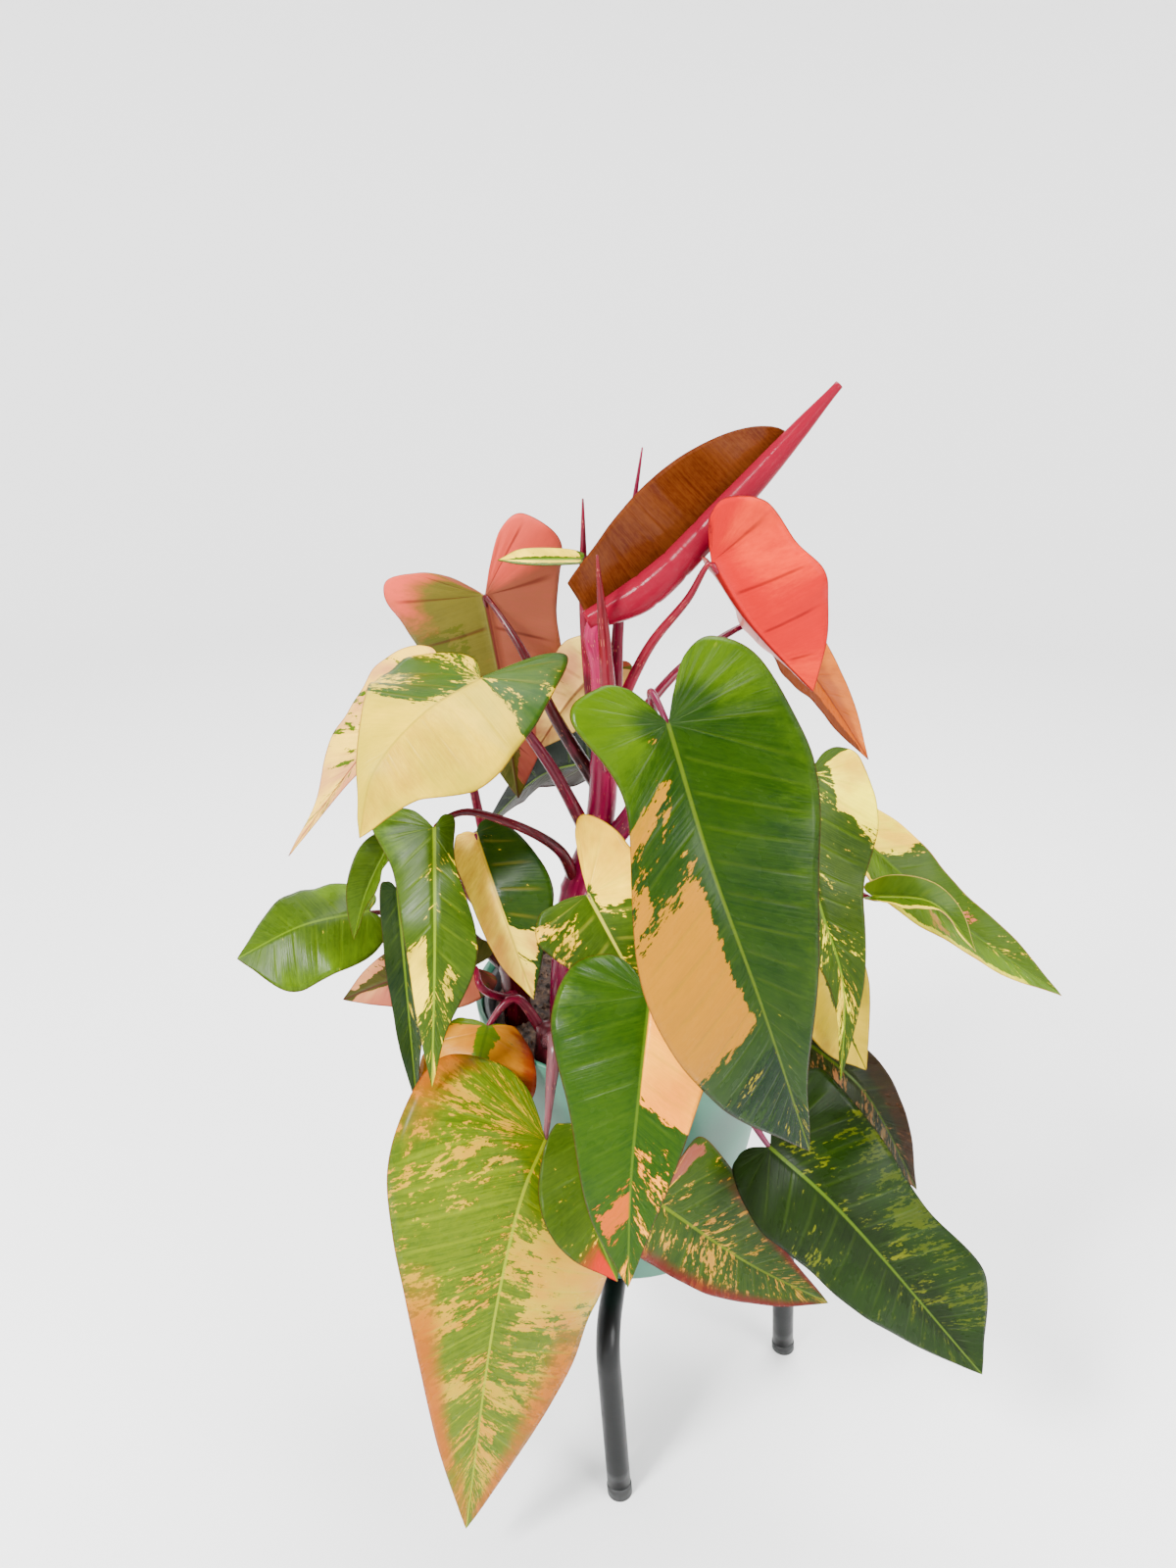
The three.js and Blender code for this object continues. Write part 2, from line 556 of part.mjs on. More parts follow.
const potFloor = BASE_Z + 5 + GAP;
const lipTop = RIM_Z - NURSERY_DROP;
const potFoot = BASE_RADIUS - PLANTER_WALL - 4;
const lipRadius = RIM_RADIUS - PLANTER_WALL - 1.9;
addSolid('nursery_pot', turned([
  [0, potFloor], [potFoot - 2, potFloor], [potFoot, potFloor + 2], [lipRadius - 4, lipTop - 8],
  [lipRadius, lipTop - 6], [lipRadius, lipTop - 1], [lipRadius - 1.5, lipTop],
  [lipRadius - 4, lipTop - 1], [lipRadius - 4 - NURSERY_WALL, lipTop - 8],
  [potFoot - NURSERY_WALL, potFloor + NURSERY_WALL + 2], [potFoot - NURSERY_WALL - 2, potFloor + NURSERY_WALL],
  [0, potFloor + NURSERY_WALL],
], ROUND), 'black');

const soilFloor = potFloor + NURSERY_WALL + GAP;
const soilTop = RIM_Z - SOIL_DROP;
const soilFoot = potFoot - NURSERY_WALL - 2.5;
const soilRadius = lipRadius - 4 - NURSERY_WALL - GAP - 0.4;
const crumbs = (row, x, y) => (row > 2 ? 1.6 * Math.sin(x / 7 + 1) * Math.sin(y / 9) : 0);
const soil = turned([
  [0, soilFloor], [soilFoot, soilFloor], [soilRadius - 0.6, soilTop - 4], [soilRadius - 4, soilTop],
  [0.7 * soilRadius, soilTop + 1], [0.4 * soilRadius, soilTop + 1.5], [0, soilTop + 2],
], ROUND, crumbs);
addSolid('soil', soil.subtract(Manifold.union(sockets)), 'soil');

// Stand: two bars cross under the planter, and each turns down into two legs.
const barZ = BASE_Z - GAP - TUBE_RADIUS;
function quarterTurns([x, y, z], count) {
  return new THREE.Vector3(x, y, z).applyAxisAngle(new THREE.Vector3(0, 0, 1), (count * Math.PI) / 2);
}

// The way from one foot up, round the bend and to the middle, with the bend as an arc of short steps.
function legStations(count, endHeight) {
  const foot = quarterTurns([...LEG_FOOT, 0], count);
  const corner = quarterTurns([...LEG_BEND, barZ], count);
  const middle = new THREE.Vector3(0, 0, barZ);
  const down = foot.clone().sub(corner).normalize();
  const inward = middle.clone().sub(corner).normalize();
  const half = down.angleTo(inward) / 2;
  const between = down.clone().add(inward).normalize();
  const centre = corner.clone().addScaledVector(between, BEND_RADIUS / Math.sin(half));
  const from = corner.clone().addScaledVector(down, BEND_RADIUS / Math.tan(half)).sub(centre);
  const to = corner.clone().addScaledVector(inward, BEND_RADIUS / Math.tan(half)).sub(centre);
  const axis = from.clone().cross(to).normalize();
  const stations = [corner.clone().addScaledVector(down, corner.z / -down.z - endHeight)];
  const steps = 5;
  for (let i = 0; i <= steps; i += 1) {
    stations.push(from.clone().applyAxisAngle(axis, ((Math.PI - 2 * half) * i) / steps).add(centre));
  }
  return stations;
}

function crossBar(count, radius, endHeight) {
  const stations = [...legStations(count, endHeight), ...legStations(count + 2, endHeight).reverse()];
  return sweep(stations, stations.map(() => radius), 12);
}

const outside = Manifold.union([0, 1].map((count) => crossBar(count, TUBE_RADIUS, CAP_HEIGHT)));
const inside = Manifold.union([0, 1].map((count) => crossBar(count, TUBE_RADIUS - TUBE_WALL, CAP_HEIGHT - 1)));
addSolid('stand', outside.subtract(inside), 'steel');

['front', 'right', 'back', 'left'].forEach((place, count) => {
  const [low, high] = legStations(count, 0);
  const plug = TUBE_RADIUS - TUBE_WALL - GAP;
  const cap = turned([
    [0, -4], [TUBE_RADIUS, -4], [TUBE_RADIUS, CAP_HEIGHT - GAP], [plug - 0.4, CAP_HEIGHT - GAP],
    [plug - 0.4, CAP_HEIGHT + 8], [0, CAP_HEIGHT + 8],
  ], 12);
  const way = high.clone().sub(low).normalize();
  const turn = new THREE.Quaternion().setFromUnitVectors(new THREE.Vector3(0, 0, 1), way);
  const pose = new THREE.Matrix4().compose(low, turn, new THREE.Vector3(1, 1, 1));
  addSolid(`foot_cap_${place}`, cap.transform(pose.elements).trimByPlane([0, 0, 1], 0), 'black');
});

// The whole stands with the middle of its footprint at the origin.
const box = new THREE.Box3().setFromObject(object);
object.position.set(-(box.min.x + box.max.x) / 2, -(box.min.y + box.max.y) / 2, -box.min.z);

export default object;
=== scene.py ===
"""A strawberry shake philodendron in a mint planter on a black four-legged tube stand.

Sizes are millimetres, measured from the pot's axis on the floor: X right, Y back, Z up. Hex colours are the
surfaces' own: darker and more saturated than they show, because the studio's light and the view transform
lighten and grey them. The exception is the back leaf's near-black top, which is painted shade for the leaves
in shadow behind the plant. Flecks and threads are drawn as coarse as they have to be to show at all.
"""
import logging
import math
from dataclasses import dataclass, field
from enum import Enum

import bpy
import numpy as np
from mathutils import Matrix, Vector


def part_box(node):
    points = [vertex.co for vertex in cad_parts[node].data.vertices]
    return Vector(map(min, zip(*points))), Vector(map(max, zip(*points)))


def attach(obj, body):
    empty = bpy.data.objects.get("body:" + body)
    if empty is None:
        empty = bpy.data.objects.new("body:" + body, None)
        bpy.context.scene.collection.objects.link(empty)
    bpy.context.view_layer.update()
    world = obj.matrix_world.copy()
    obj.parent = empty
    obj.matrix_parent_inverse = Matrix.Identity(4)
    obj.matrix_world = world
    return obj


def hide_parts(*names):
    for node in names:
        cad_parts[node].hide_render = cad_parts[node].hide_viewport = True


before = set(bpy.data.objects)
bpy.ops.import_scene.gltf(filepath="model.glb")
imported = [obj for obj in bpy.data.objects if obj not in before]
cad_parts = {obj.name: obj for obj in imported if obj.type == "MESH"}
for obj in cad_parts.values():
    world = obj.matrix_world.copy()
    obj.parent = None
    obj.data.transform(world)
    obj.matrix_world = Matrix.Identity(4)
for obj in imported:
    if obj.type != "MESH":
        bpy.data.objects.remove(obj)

LOG = logging.getLogger("philodendron")
MM = 0.001
UV_UNIT = 100.0  # one unit of a UV map is 100 mm of leaf, stalk or tube
VEIN_SPACING = 12.5  # between the side veins of a blade
PATCH_EDGE = (0.47, 0.53)  # where a patch's broken border starts and ends
SPLASH_EDGE = (0.94, 0.99)  # the same for a splash
Pair = tuple[float, float]
Point = tuple[float, float, float]
Half = tuple[float, float, float, float, float]
Faces = list[tuple[int, ...]]
Values = dict[str, np.ndarray]
Socket = bpy.types.NodeSocket
Material = bpy.types.Material
Object = bpy.types.Object

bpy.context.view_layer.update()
POT = [(low + high) / 2 for low, high in zip(*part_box("planter"))][:2]


# Colour and shading nodes


def linear(code: str) -> tuple[float, float, float, float]:
    """Turns an sRGB hex colour such as '#6fa08c' into linear RGBA."""
    parts = [int(code[i : i + 2], 16) / 255 for i in (1, 3, 5)]
    return (*[c / 12.92 if c <= 0.04045 else ((c + 0.055) / 1.055) ** 2.4 for c in parts], 1.0)


def add(tree: bpy.types.NodeTree, kind: str, inputs: dict | None = None, **settings: object) -> bpy.types.Node:
    """Adds a shader node with its settings, values and links.

    Args:
        tree: The material's node tree.
        kind: The node's type without its ShaderNode prefix.
        inputs: Socket name or index to a value, or to the output socket that it is linked from.
        settings: Properties of the node.

    Returns:
        The new node.
    """
    node = tree.nodes.new("ShaderNode" + kind)
    for key, value in settings.items():
        setattr(node, key, value)
    for key, value in (inputs or {}).items():
        if isinstance(value, Socket):
            tree.links.new(value, node.inputs[key])
        else:
            node.inputs[key].default_value = value
    return node


class Recipe:
    """A material's tree with the few steps that all finishes share."""

    def __init__(self, name: str) -> None:
        """Starts an empty material.

        Args:
            name: The material's name.
        """
        self.material = bpy.data.materials.new(name)
        self.material.use_nodes = True
        self.tree = self.material.node_tree
        self.tree.nodes.clear()

    def math(self, operation: str, *values: object) -> Socket:
        """Returns the output of a Math node on up to three values or sockets."""
        return add(self.tree, "Math", dict(enumerate(values)), operation=operation).outputs[0]

    def blend(self, share: object, low: object, high: object, how: str = "MIX") -> Socket:
        """Mixes two colours.

        Args:
            share: How much of high there is, a number or a socket.
            low: A hex colour or a socket.
            high: A hex colour or a socket.
            how: The Mix node's blend type.

        Returns:
            The mixed colour.
        """
        low, high = (linear(c) if isinstance(c, str) else c for c in (low, high))
        node = add(self.tree, "Mix", {0: share, 6: low, 7: high}, data_type="RGBA", blend_type=how)
        return node.outputs[2]

    def ramp(self, value: object, low: float, high: float, out: Pair = (0, 1)) -> Socket:
        """Returns value stretched from low..high to the out range, smooth and held at its ends."""
        steps = {0: value, 1: low, 2: high, 3: out[0], 4: out[1]}
        return add(self.tree, "MapRange", steps, interpolation_type="SMOOTHSTEP").outputs[0]

    def noise(
        self, where: object, size: Point, detail: float = 3, rough: float = 0.55, seed: float = 0
    ) -> Socket:
        """Makes noise with grains of a real size.

        Args:
            where: The map or place that it is read from, in mm.
            size: A grain's length along each axis, in mm.
            detail: How many finer layers it has.
            rough: How strong they are.
            seed: Moves the noise, so that no two look alike.

        Returns:
            The noise, mostly between 0.3 and 0.7.
        """
        scale = tuple(1 / s for s in size)
        moved = add(self.tree, "Mapping", {0: where, 1: (seed, seed * 0.7, seed * 1.3), 3: scale})
        steps = {"Vector": moved.outputs[0], "Scale": 1.0, "Detail": detail, "Roughness": rough}
        return add(self.tree, "TexNoise", steps, noise_dimensions="3D").outputs[0]

    def attribute(self, name: str, colour: bool = False) -> Socket:
        """Returns a value, or a colour, that the mesh keeps at its points."""
        node = add(self.tree, "Attribute", attribute_name=name, attribute_type="GEOMETRY")
        return node.outputs[0 if colour else 2]

    def flat_map(self) -> tuple[Socket, Socket, Socket]:
        """Reads the piece's own UV map.

        Returns:
            The map as a vector in mm, its first axis and its second axis.
        """
        uv = add(self.tree, "UVMap", uv_map="span").outputs[0]
        whole = add(self.tree, "VectorMath", {0: uv, 1: (UV_UNIT,) * 3}, operation="MULTIPLY").outputs[0]
        axes = add(self.tree, "SeparateXYZ", {0: whole}).outputs
        return whole, axes[0], axes[1]

    def place(self) -> Socket:
        """Returns the point's place in the frame, in mm."""
        spot = add(self.tree, "TexCoord").outputs["Object"]
        return add(self.tree, "VectorMath", {0: spot, 1: (1 / MM,) * 3}, operation="MULTIPLY").outputs[0]

    def bump(self, height: object, distance: float, strength: float = 1.0) -> Socket:
        """Returns a normal for a height of 0..1 that stands for distance mm."""
        steps = {"Height": height, "Distance": distance * MM, "Strength": strength}
        return add(self.tree, "Bump", steps).outputs[0]

    def surface(self, inputs: dict) -> Material:
        """Ends the tree in a Principled shader.

        Args:
            inputs: The shader's sockets by name.

        Returns:
            The finished material.
        """
        shader = add(self.tree, "BsdfPrincipled", inputs)
        add(self.tree, "OutputMaterial", {"Surface": shader.outputs[0]})
        return self.material


# Finishes


@dataclass(frozen=True)
class LeafSkin:
    """Living leaf blade with a waxy cuticle: a wet-looking sheen over colour that breaks up along the veins.

    green and light mix as fine mottling, mottle strong, and blush is blended softly over them; pale, warm and
    dark are the sectors, where pale drifts to cream; vein is the midrib and the side veins, which stand
    spacing apart in mm and show as strongly as ribs says; margin is the thin coloured edge.
    """

    name: str
    green: str = "#213405"
    light: str = "#435a05"
    blush: str = "#516e05"
    pale: str = "#b19705"
    cream: str = "#f7d205"
    warm: str = "#a24f05"
    dark: str = "#072305"
    vein: str = "#546c07"
    margin: str = "#380505"
    roughness: float = 0.33
    mottle: float = 0.4
    ribs: float = 0.14
    spacing: float = VEIN_SPACING
    seed: float = 0.0

    def make(self) -> Material:
        """Builds the blade's material.

        Returns:
            The material.
        """
        r = Recipe(self.name)
        span, along, out = r.flat_map()
        seed = self.seed
        # Patches break up in streaks that follow the side veins, in four sizes.
        broad = r.noise(span, (19.0, 60.0, 1.0), 2, 0.5, seed + 5)
        streak = r.noise(span, (4.0, 17.0, 1.0), 4, 0.62, seed)
        speck = r.noise(span, (1.5, 4.5, 1.0), 3, 0.65, seed + 9)
        thread = r.noise(span, (0.8, 60.0, 1.0), 2, 0.5, seed + 2)
        jag = r.math("ADD", r.math("MULTIPLY", streak, 1.1), r.math("MULTIPLY", broad, 1.0))
        jag = r.math("SUBTRACT", r.math("ADD", jag, r.math("MULTIPLY", speck, 0.7)), 1.4)
        cloud = r.ramp(r.noise(span, (26.0, 40.0, 1.0), 3, 0.55, seed + 3), 0.35, 0.65)
        grain = r.math("ADD", r.math("MULTIPLY", speck, 0.5), r.math("MULTIPLY", thread, 0.5))
        grain = r.ramp(grain, 0.36, 0.62)
        colour = r.blend(r.math("MULTIPLY", grain, self.mottle), self.green, self.light)
        colour = r.blend(r.math("MULTIPLY", cloud, 0.3), colour, self.light)
        cream = r.blend(cloud, self.pale, self.cream)
        for name, tone in (("dark", self.dark), ("warm", self.warm), ("pale", cream)):
            edge = r.ramp(r.math("ADD", r.attribute(name), jag), *PATCH_EDGE)
            tint = r.blend(r.math("MULTIPLY", grain, 0.1), tone, colour)
            colour = r.blend(edge, colour, tint)
        # Fine splashes: the more of them a sector has, the more of the streaky noise shows.
        splash = r.math("ADD", r.math("MULTIPLY", streak, 0.5), r.math("MULTIPLY", speck, 0.45))
        splash = r.math("ADD", splash, r.math("MULTIPLY", broad, 0.5))
        splash = r.math("ADD", splash, r.math("MULTIPLY", r.attribute("splash"), 0.26))
        splash = r.ramp(splash, *SPLASH_EDGE, (0, 0.85))
        colour = r.blend(splash, colour, cream)
        blush = r.math("ADD", r.attribute("blush"), r.math("MULTIPLY", jag, 0.5))
        colour = r.blend(r.ramp(blush, 0.05, 0.95, (0, 0.9)), colour, self.blush)
        # Side veins: a soft line of 1 mm that fades before the margin and beside the midrib.
        gap = r.math("PINGPONG", along, self.spacing / 2)
        inside, beside = r.ramp(r.attribute("edge"), 2.0, 16.0), r.ramp(r.math("ABSOLUTE", out), 1.0, 6.0)
        fade = r.math("MULTIPLY", inside, beside)
        line = r.math("MULTIPLY", r.ramp(gap, 1.3, 0.2), fade)
        colour = r.blend(r.math("MULTIPLY", line, self.ribs), colour, self.vein)
        colour = r.blend(r.ramp(r.attribute("rib"), 0.45, 0.85, (0, 0.75)), colour, self.vein)
        rim = r.ramp(r.math("ADD", r.attribute("edge"), r.math("MULTIPLY", speck, 0.8)), 1.3, 0.6, (0, 0.6))
        colour = r.blend(rim, colour, self.margin)
        height = r.math("ADD", r.math("MULTIPLY", thread, 0.6), r.math("MULTIPLY", speck, 0.3))
        height = r.math("SUBTRACT", height, r.math("MULTIPLY", line, 0.7))
        wet = r.noise(span, (14.0, 30.0, 1.0), 3, 0.6, seed + 7)
        shine = r.ramp(wet, 0.3, 0.7, (self.roughness - 0.1, self.roughness + 0.05))
        return r.surface({
            "Base Color": colour, "Roughness": shine, "IOR": 1.17, "Normal": r.bump(height, 0.3, 0.7),
        })


@dataclass(frozen=True)
class StalkSkin:
    """Living stalk: smooth and taut, maroon to magenta, with short pale streaks along it and a soft sheen."""

    name: str = "living_stalk"

    def make(self) -> Material:
        """Builds the stalks' material; each stalk brings its own colour at its points.

        Returns:
            The material.
        """
        r = Recipe(self.name)
        span, along, _ = r.flat_map()
        base = r.attribute("tint", colour=True)
        streak = r.noise(span, (30.0, 1.4, 1.0), 3, 0.6, 2)
        cloud = r.noise(span, (24.0, 7.0, 1.0), 2, 0.5, 7)
        fleck = r.ramp(r.noise(span, (5.0, 1.1, 1.0), 1, 0.5, 4), 0.68, 0.74)
        shade = r.blend(1.0, base, "#4b3135", "MULTIPLY")
        colour = r.blend(r.ramp(streak, 0.45, 0.7, (0, 0.5)), base, shade)
        colour = r.blend(r.ramp(cloud, 0.5, 0.75, (0, 0.25)), colour, "#a0053d")
        colour = r.blend(r.math("MULTIPLY", fleck, 0.35), colour, "#c76c50")
        height = r.math("ADD", r.math("MULTIPLY", streak, 0.7), r.math("MULTIPLY", fleck, 0.4))
        return r.surface({
            "Base Color": colour, "Roughness": 0.26, "IOR": 1.3, "Normal": r.bump(height, 0.25, 0.6),
        })


@dataclass(frozen=True)
class GlazedStoneware:
    """Mint stoneware, wheel-thrown and satin glazed: even colour, a silky sheen and the faintest ripple."""

    name: str = "glazed_stoneware_mint"
    glaze: str = "#2a6650"
    thin: str = "#3a7a60"

    def make(self) -> Material:
        """Builds the planter's material.

        Returns:
            The material.
        """
        r = Recipe(self.name)
        place = r.place()
        cloud = r.noise(place, (55.0, 55.0, 35.0), 3, 0.5, 1)
        peel = r.noise(place, (2.4, 2.4, 2.0), 2, 0.5, 3)
        colour = r.blend(r.ramp(cloud, 0.35, 0.65, (0, 0.3)), self.glaze, self.thin)
        speck = r.ramp(r.noise(place, (1.3, 1.3, 1.3), 1, 0.4, 8), 0.72, 0.76, (0, 0.3))
        colour = r.blend(speck, colour, "#4c6a5e")
        shine = r.ramp(cloud, 0.3, 0.7, (0.42, 0.5))
        return r.surface({"Base Color": colour, "Roughness": shine, "Normal": r.bump(peel, 0.12, 0.5)})


@dataclass(frozen=True)
class MouldedPolypropylene:
    """Black polypropylene from a mould: dull, with fine texture and a grey sheen where light grazes it."""

    name: str = "moulded_polypropylene_black"
    colour: str = "#1d1f20"

    def make(self) -> Material:
        """Builds the nursery pot's material.

        Returns:
            The material.
        """
        r = Recipe(self.name)
        place = r.place()
        grit = r.noise(place, (0.8, 0.8, 0.8), 3, 0.6, 2)
        dust = r.ramp(r.noise(place, (14.0, 14.0, 9.0), 4, 0.6, 5), 0.5, 0.72, (0, 0.35))
        colour = r.blend(dust, self.colour, "#4a4640")
        shine = r.ramp(dust, 0.0, 0.35, (0.38, 0.6))
        return r.surface({"Base Color": colour, "Roughness": shine, "Normal": r.bump(grit, 0.1, 0.5)})


@dataclass(frozen=True)
class PottingMix:
    """Peat and bark, moist: matt dark brown crumbs with lighter fibres."""

    name: str = "potting_mix"

    def make(self) -> Material:
        """Builds the soil's material.

        Returns:
            The material.
        """
        r = Recipe(self.name)
        place = r.place()
        clod = r.noise(place, (6.0, 6.0, 6.0), 4, 0.65, 1)
        fibre = r.ramp(r.noise(place, (1.5, 9.0, 2.0), 2, 0.6, 4), 0.6, 0.68)
        grit = r.noise(place, (1.2, 1.2, 1.2), 3, 0.6, 9)
        colour = r.blend(r.ramp(clod, 0.35, 0.65), "#1c1410", "#4a3526")
        colour = r.blend(r.math("MULTIPLY", fibre, 0.5), colour, "#7a5c3f")
        height = r.math("ADD", clod, r.math("MULTIPLY", grit, 0.5))
        return r.surface({"Base Color": colour, "Roughness": 0.92, "Normal": r.bump(height, 2.2)})


@dataclass(frozen=True)
class LacqueredSteel:
    """Steel tube, bent and powder coated in glossy black: deep black with long soft highlights."""

    name: str = "lacquered_steel_tube"

    def make(self) -> Material:
        """Builds the stand's material.

        Returns:
            The material.
        """
        r = Recipe(self.name)
        place = r.place()
        peel = r.noise(place, (3.0, 3.0, 3.0), 2, 0.5, 3)
        wear = r.ramp(r.noise(place, (18.0, 18.0, 18.0), 4, 0.6, 6), 0.5, 0.7, (0, 1))
        colour = r.blend(r.math("MULTIPLY", wear, 0.4), "#070808", "#101112")
        shine = r.ramp(wear, 0, 1, (0.34, 0.44))
        return r.surface({
            "Base Color": colour, "Roughness": shine, "IOR": 1.3, "Normal": r.bump(peel, 0.08, 0.5),
        })


@dataclass(frozen=True)
class MouldedRubber:
    """Black rubber cap from a mould: matt, slightly grey, with a fine grit."""

    name: str = "moulded_rubber_black"

    def make(self) -> Material:
        """Builds the foot caps' material.

        Returns:
            The material.
        """
        r = Recipe(self.name)
        place = r.place()
        grit = r.noise(place, (0.7, 0.7, 0.7), 3, 0.6, 2)
        scuff = r.ramp(r.noise(place, (6.0, 6.0, 3.0), 3, 0.6, 5), 0.5, 0.7, (0, 0.4))
        colour = r.blend(scuff, "#0d0e0e", "#242424")
        return r.surface({"Base Color": colour, "Roughness": 0.62, "Normal": r.bump(grit, 0.12, 0.7)})


# Curves and meshes


def spline_through(points: np.ndarray, shares: np.ndarray) -> np.ndarray:
    """Reads a smooth flat curve through points.

    Args:
        points: What the curve passes, one row for each.
        shares: Where it is read, from 0 to 1, each span taking an equal share.

    Returns:
        The curve's points at the shares.
    """
    spot = np.clip(shares, 0, 1) * (len(points) - 1)
    k = np.minimum(spot.astype(int), len(points) - 2)
    w = (spot - k)[:, None]
    p0, p1 = points[np.maximum(k - 1, 0)], points[k]
    p2, p3 = points[k + 1], points[np.minimum(k + 2, len(points) - 1)]
    v0, v1 = (p2 - p0) / 2, (p3 - p1) / 2
    return (2 * p1 - 2 * p2 + v0 + v1) * w**3 + (3 * p2 - 3 * p1 - 2 * v0 - v1) * w**2 + v0 * w + p1


class Route:
    """A smooth way through points in space, read by the share of its length."""

    def __init__(self, points: list[Point], samples: int = 160) -> None:
        """Runs the curve through its points.

        Args:
            points: Where it passes, in mm.
            samples: The steps of each span.
        """
        p = np.asarray(points, float)
        ends = np.vstack([2 * p[0] - p[1], p, 2 * p[-1] - p[-2]])
        spans = []
        w = np.linspace(0, 1, samples, endpoint=False)[:, None]
        for k in range(len(p) - 1):
            p0, p1, p2, p3 = ends[k : k + 4]
            pairs = ((p0, p1), (p1, p2), (p2, p3))
            d0, d1, d2 = (max(float(np.sum((b - a) ** 2)) ** 0.25, 1e-4) for a, b in pairs)
            t1 = ((p1 - p0) / d0 - (p2 - p0) / (d0 + d1) + (p2 - p1) / d1) * d1
            t2 = ((p2 - p1) / d1 - (p3 - p1) / (d1 + d2) + (p3 - p2) / d2) * d1
            square, cube = 3 * p2 - 3 * p1 - 2 * t1 - t2, 2 * p1 - 2 * p2 + t1 + t2
            spans.append(p1 + t1 * w + square * w**2 + cube * w**3)
        self.points = np.vstack([*spans, p[-1:]])
        self.run = np.concatenate([[0], np.cumsum(np.linalg.norm(np.diff(self.points, axis=0), axis=1))])
        self.length = float(self.run[-1])

    def at(self, shares: np.ndarray) -> np.ndarray:
        """Returns the points at these shares of the length."""
        where = np.clip(shares, 0, 1) * self.length
        return np.stack([np.interp(where, self.run, self.points[:, k]) for k in range(3)], axis=-1)

    def way(self, shares: np.ndarray) -> np.ndarray:
        """Returns the unit directions at these shares of the length."""
        step = self.at(np.asarray(shares) + 0.012) - self.at(np.asarray(shares) - 0.012)
        return unit(step)


def unit(vectors: np.ndarray) -> np.ndarray:
    """Returns the vectors at length one."""
    return vectors / np.maximum(np.linalg.norm(vectors, axis=-1, keepdims=True), 1e-9)


@dataclass
class Shape:
    """A mesh being made: points and their map in mm, faces, values at the points, a finish for each face."""

    points: np.ndarray
    faces: Faces
    span: np.ndarray
    values: Values = field(default_factory=dict)
    finish: list[int] | None = None

    def joined(self, other: "Shape") -> "Shape":
        """Joins another shape to this one.

        Args:
            other: A shape with the same values, and with finishes if this one has them.

        Returns:
            Both as one shape.
        """
        shift = len(self.points)
        faces = self.faces + [tuple(i + shift for i in f) for f in other.faces]
        values = {k: np.concatenate([v, other.values[k]]) for k, v in self.values.items()}
        finish = None if self.finish is None else self.finish + other.finish
        points, span = np.vstack([self.points, other.points]), np.vstack([self.span, other.span])
        return Shape(points, faces, span, values, finish)

    def place(self, name: str, node: str, slot: str, materials: list[Material]) -> Object:
        """Makes the Blender object that stands for a CAD node.

        Args:
            name: The piece's name.
            node: The CAD node that it replaces.
            slot: Not used.
            materials: Its finishes, in the order of the faces' indices.

        Returns:
            The new object, riding on the root body.
        """
        mesh = bpy.data.meshes.new(name)
        mesh.from_pydata((self.points * MM + np.array([*POT, 0])).tolist(), [], self.faces)
        corners = np.concatenate([np.asarray(f) for f in self.faces])
        uv = mesh.uv_layers.new(name="span")
        uv.data.foreach_set("uv", (self.span[corners] / UV_UNIT).astype(np.float32).ravel())
        for key, value in self.values.items():
            kind, prop = ("FLOAT", "value") if value.ndim == 1 else ("FLOAT_COLOR", "color")
            layer = mesh.attributes.new(key, kind, "POINT")
            layer.data.foreach_set(prop, value.astype(np.float32).ravel())
        if self.finish is not None:
            mesh.polygons.foreach_set("material_index", self.finish)
        mesh.polygons.foreach_set("use_smooth", [True] * len(mesh.polygons))
        for material in materials:
            mesh.materials.append(material)
        mesh.validate()
        piece = bpy.data.objects.new(name, mesh)
        bpy.context.scene.collection.objects.link(piece)
        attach(piece, "root")
        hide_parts(node)
        LOG.info("%s: %d faces", name, len(mesh.polygons))
        return piece


def welded(points: np.ndarray, faces: np.ndarray) -> tuple[np.ndarray, np.ndarray, Faces]:
    """Joins points that lie in one place.

    Args:
        points: All points.
        faces: Quads of their indices.

    Returns:
        The kept points' indices, the new index of each point, and the faces without their lost corners.
    """
    _, kept, index = np.unique(np.round(points, 4), axis=0, return_index=True, return_inverse=True)
    index = index.ravel()
    clean = []
    for face in index[faces]:
        ring = [int(v) for k, v in enumerate(face) if v != face[k - 1]]
        if len(set(ring)) >= 3 and len(set(ring)) == len(ring):
            clean.append(tuple(ring))
    return kept, index, clean


def point_normals(points: np.ndarray, faces: Faces) -> np.ndarray:
    """Finds the area-weighted normals at the points.

    Args:
        points: The mesh's points.
        faces: Its triangles and quads.

    Returns:
        A unit normal for each point.
    """
    normals = np.zeros_like(points)
    for size in (3, 4):
        group = np.array([f for f in faces if len(f) == size], dtype=int).reshape(-1, size)
        a, b, c = (points[group[:, k]] for k in range(3))
        flat = np.cross(b - a, c - a) if size == 3 else np.cross(c - a, points[group[:, 3]] - b)
        for k in range(size):
            np.add.at(normals, group[:, k], flat)
    return unit(normals)


def ring_faces(rings: int, sides: int) -> Faces:
    """Makes the quads between rings of points that follow each other along a tube.

    Args:
        rings: How many rings there are.
        sides: How many points each has.

    Returns:
        The faces, ring by ring.
    """
    faces = []
    for low in range(0, (rings - 1) * sides, sides):
        high = low + sides
        for k in range(sides):
            after = (k + 1) % sides
            faces.append((low + k, low + after, high + after, high + k))
    return faces


def rim_edges(faces: Faces) -> list[tuple[int, int]]:
    """Returns the directed edges that belong to one face only."""
    edges = {(f[k - 1], f[k]) for f in faces for k in range(len(f))}
    return [(a, b) for a, b in edges if (b, a) not in edges]


# Leaves


class Tone(Enum):
    """What colour a sector of a blade has."""

    PALE = "pale"
    WARM = "warm"
    DARK = "dark"
    BLUSH = "blush"
    SPLASH = "splash"


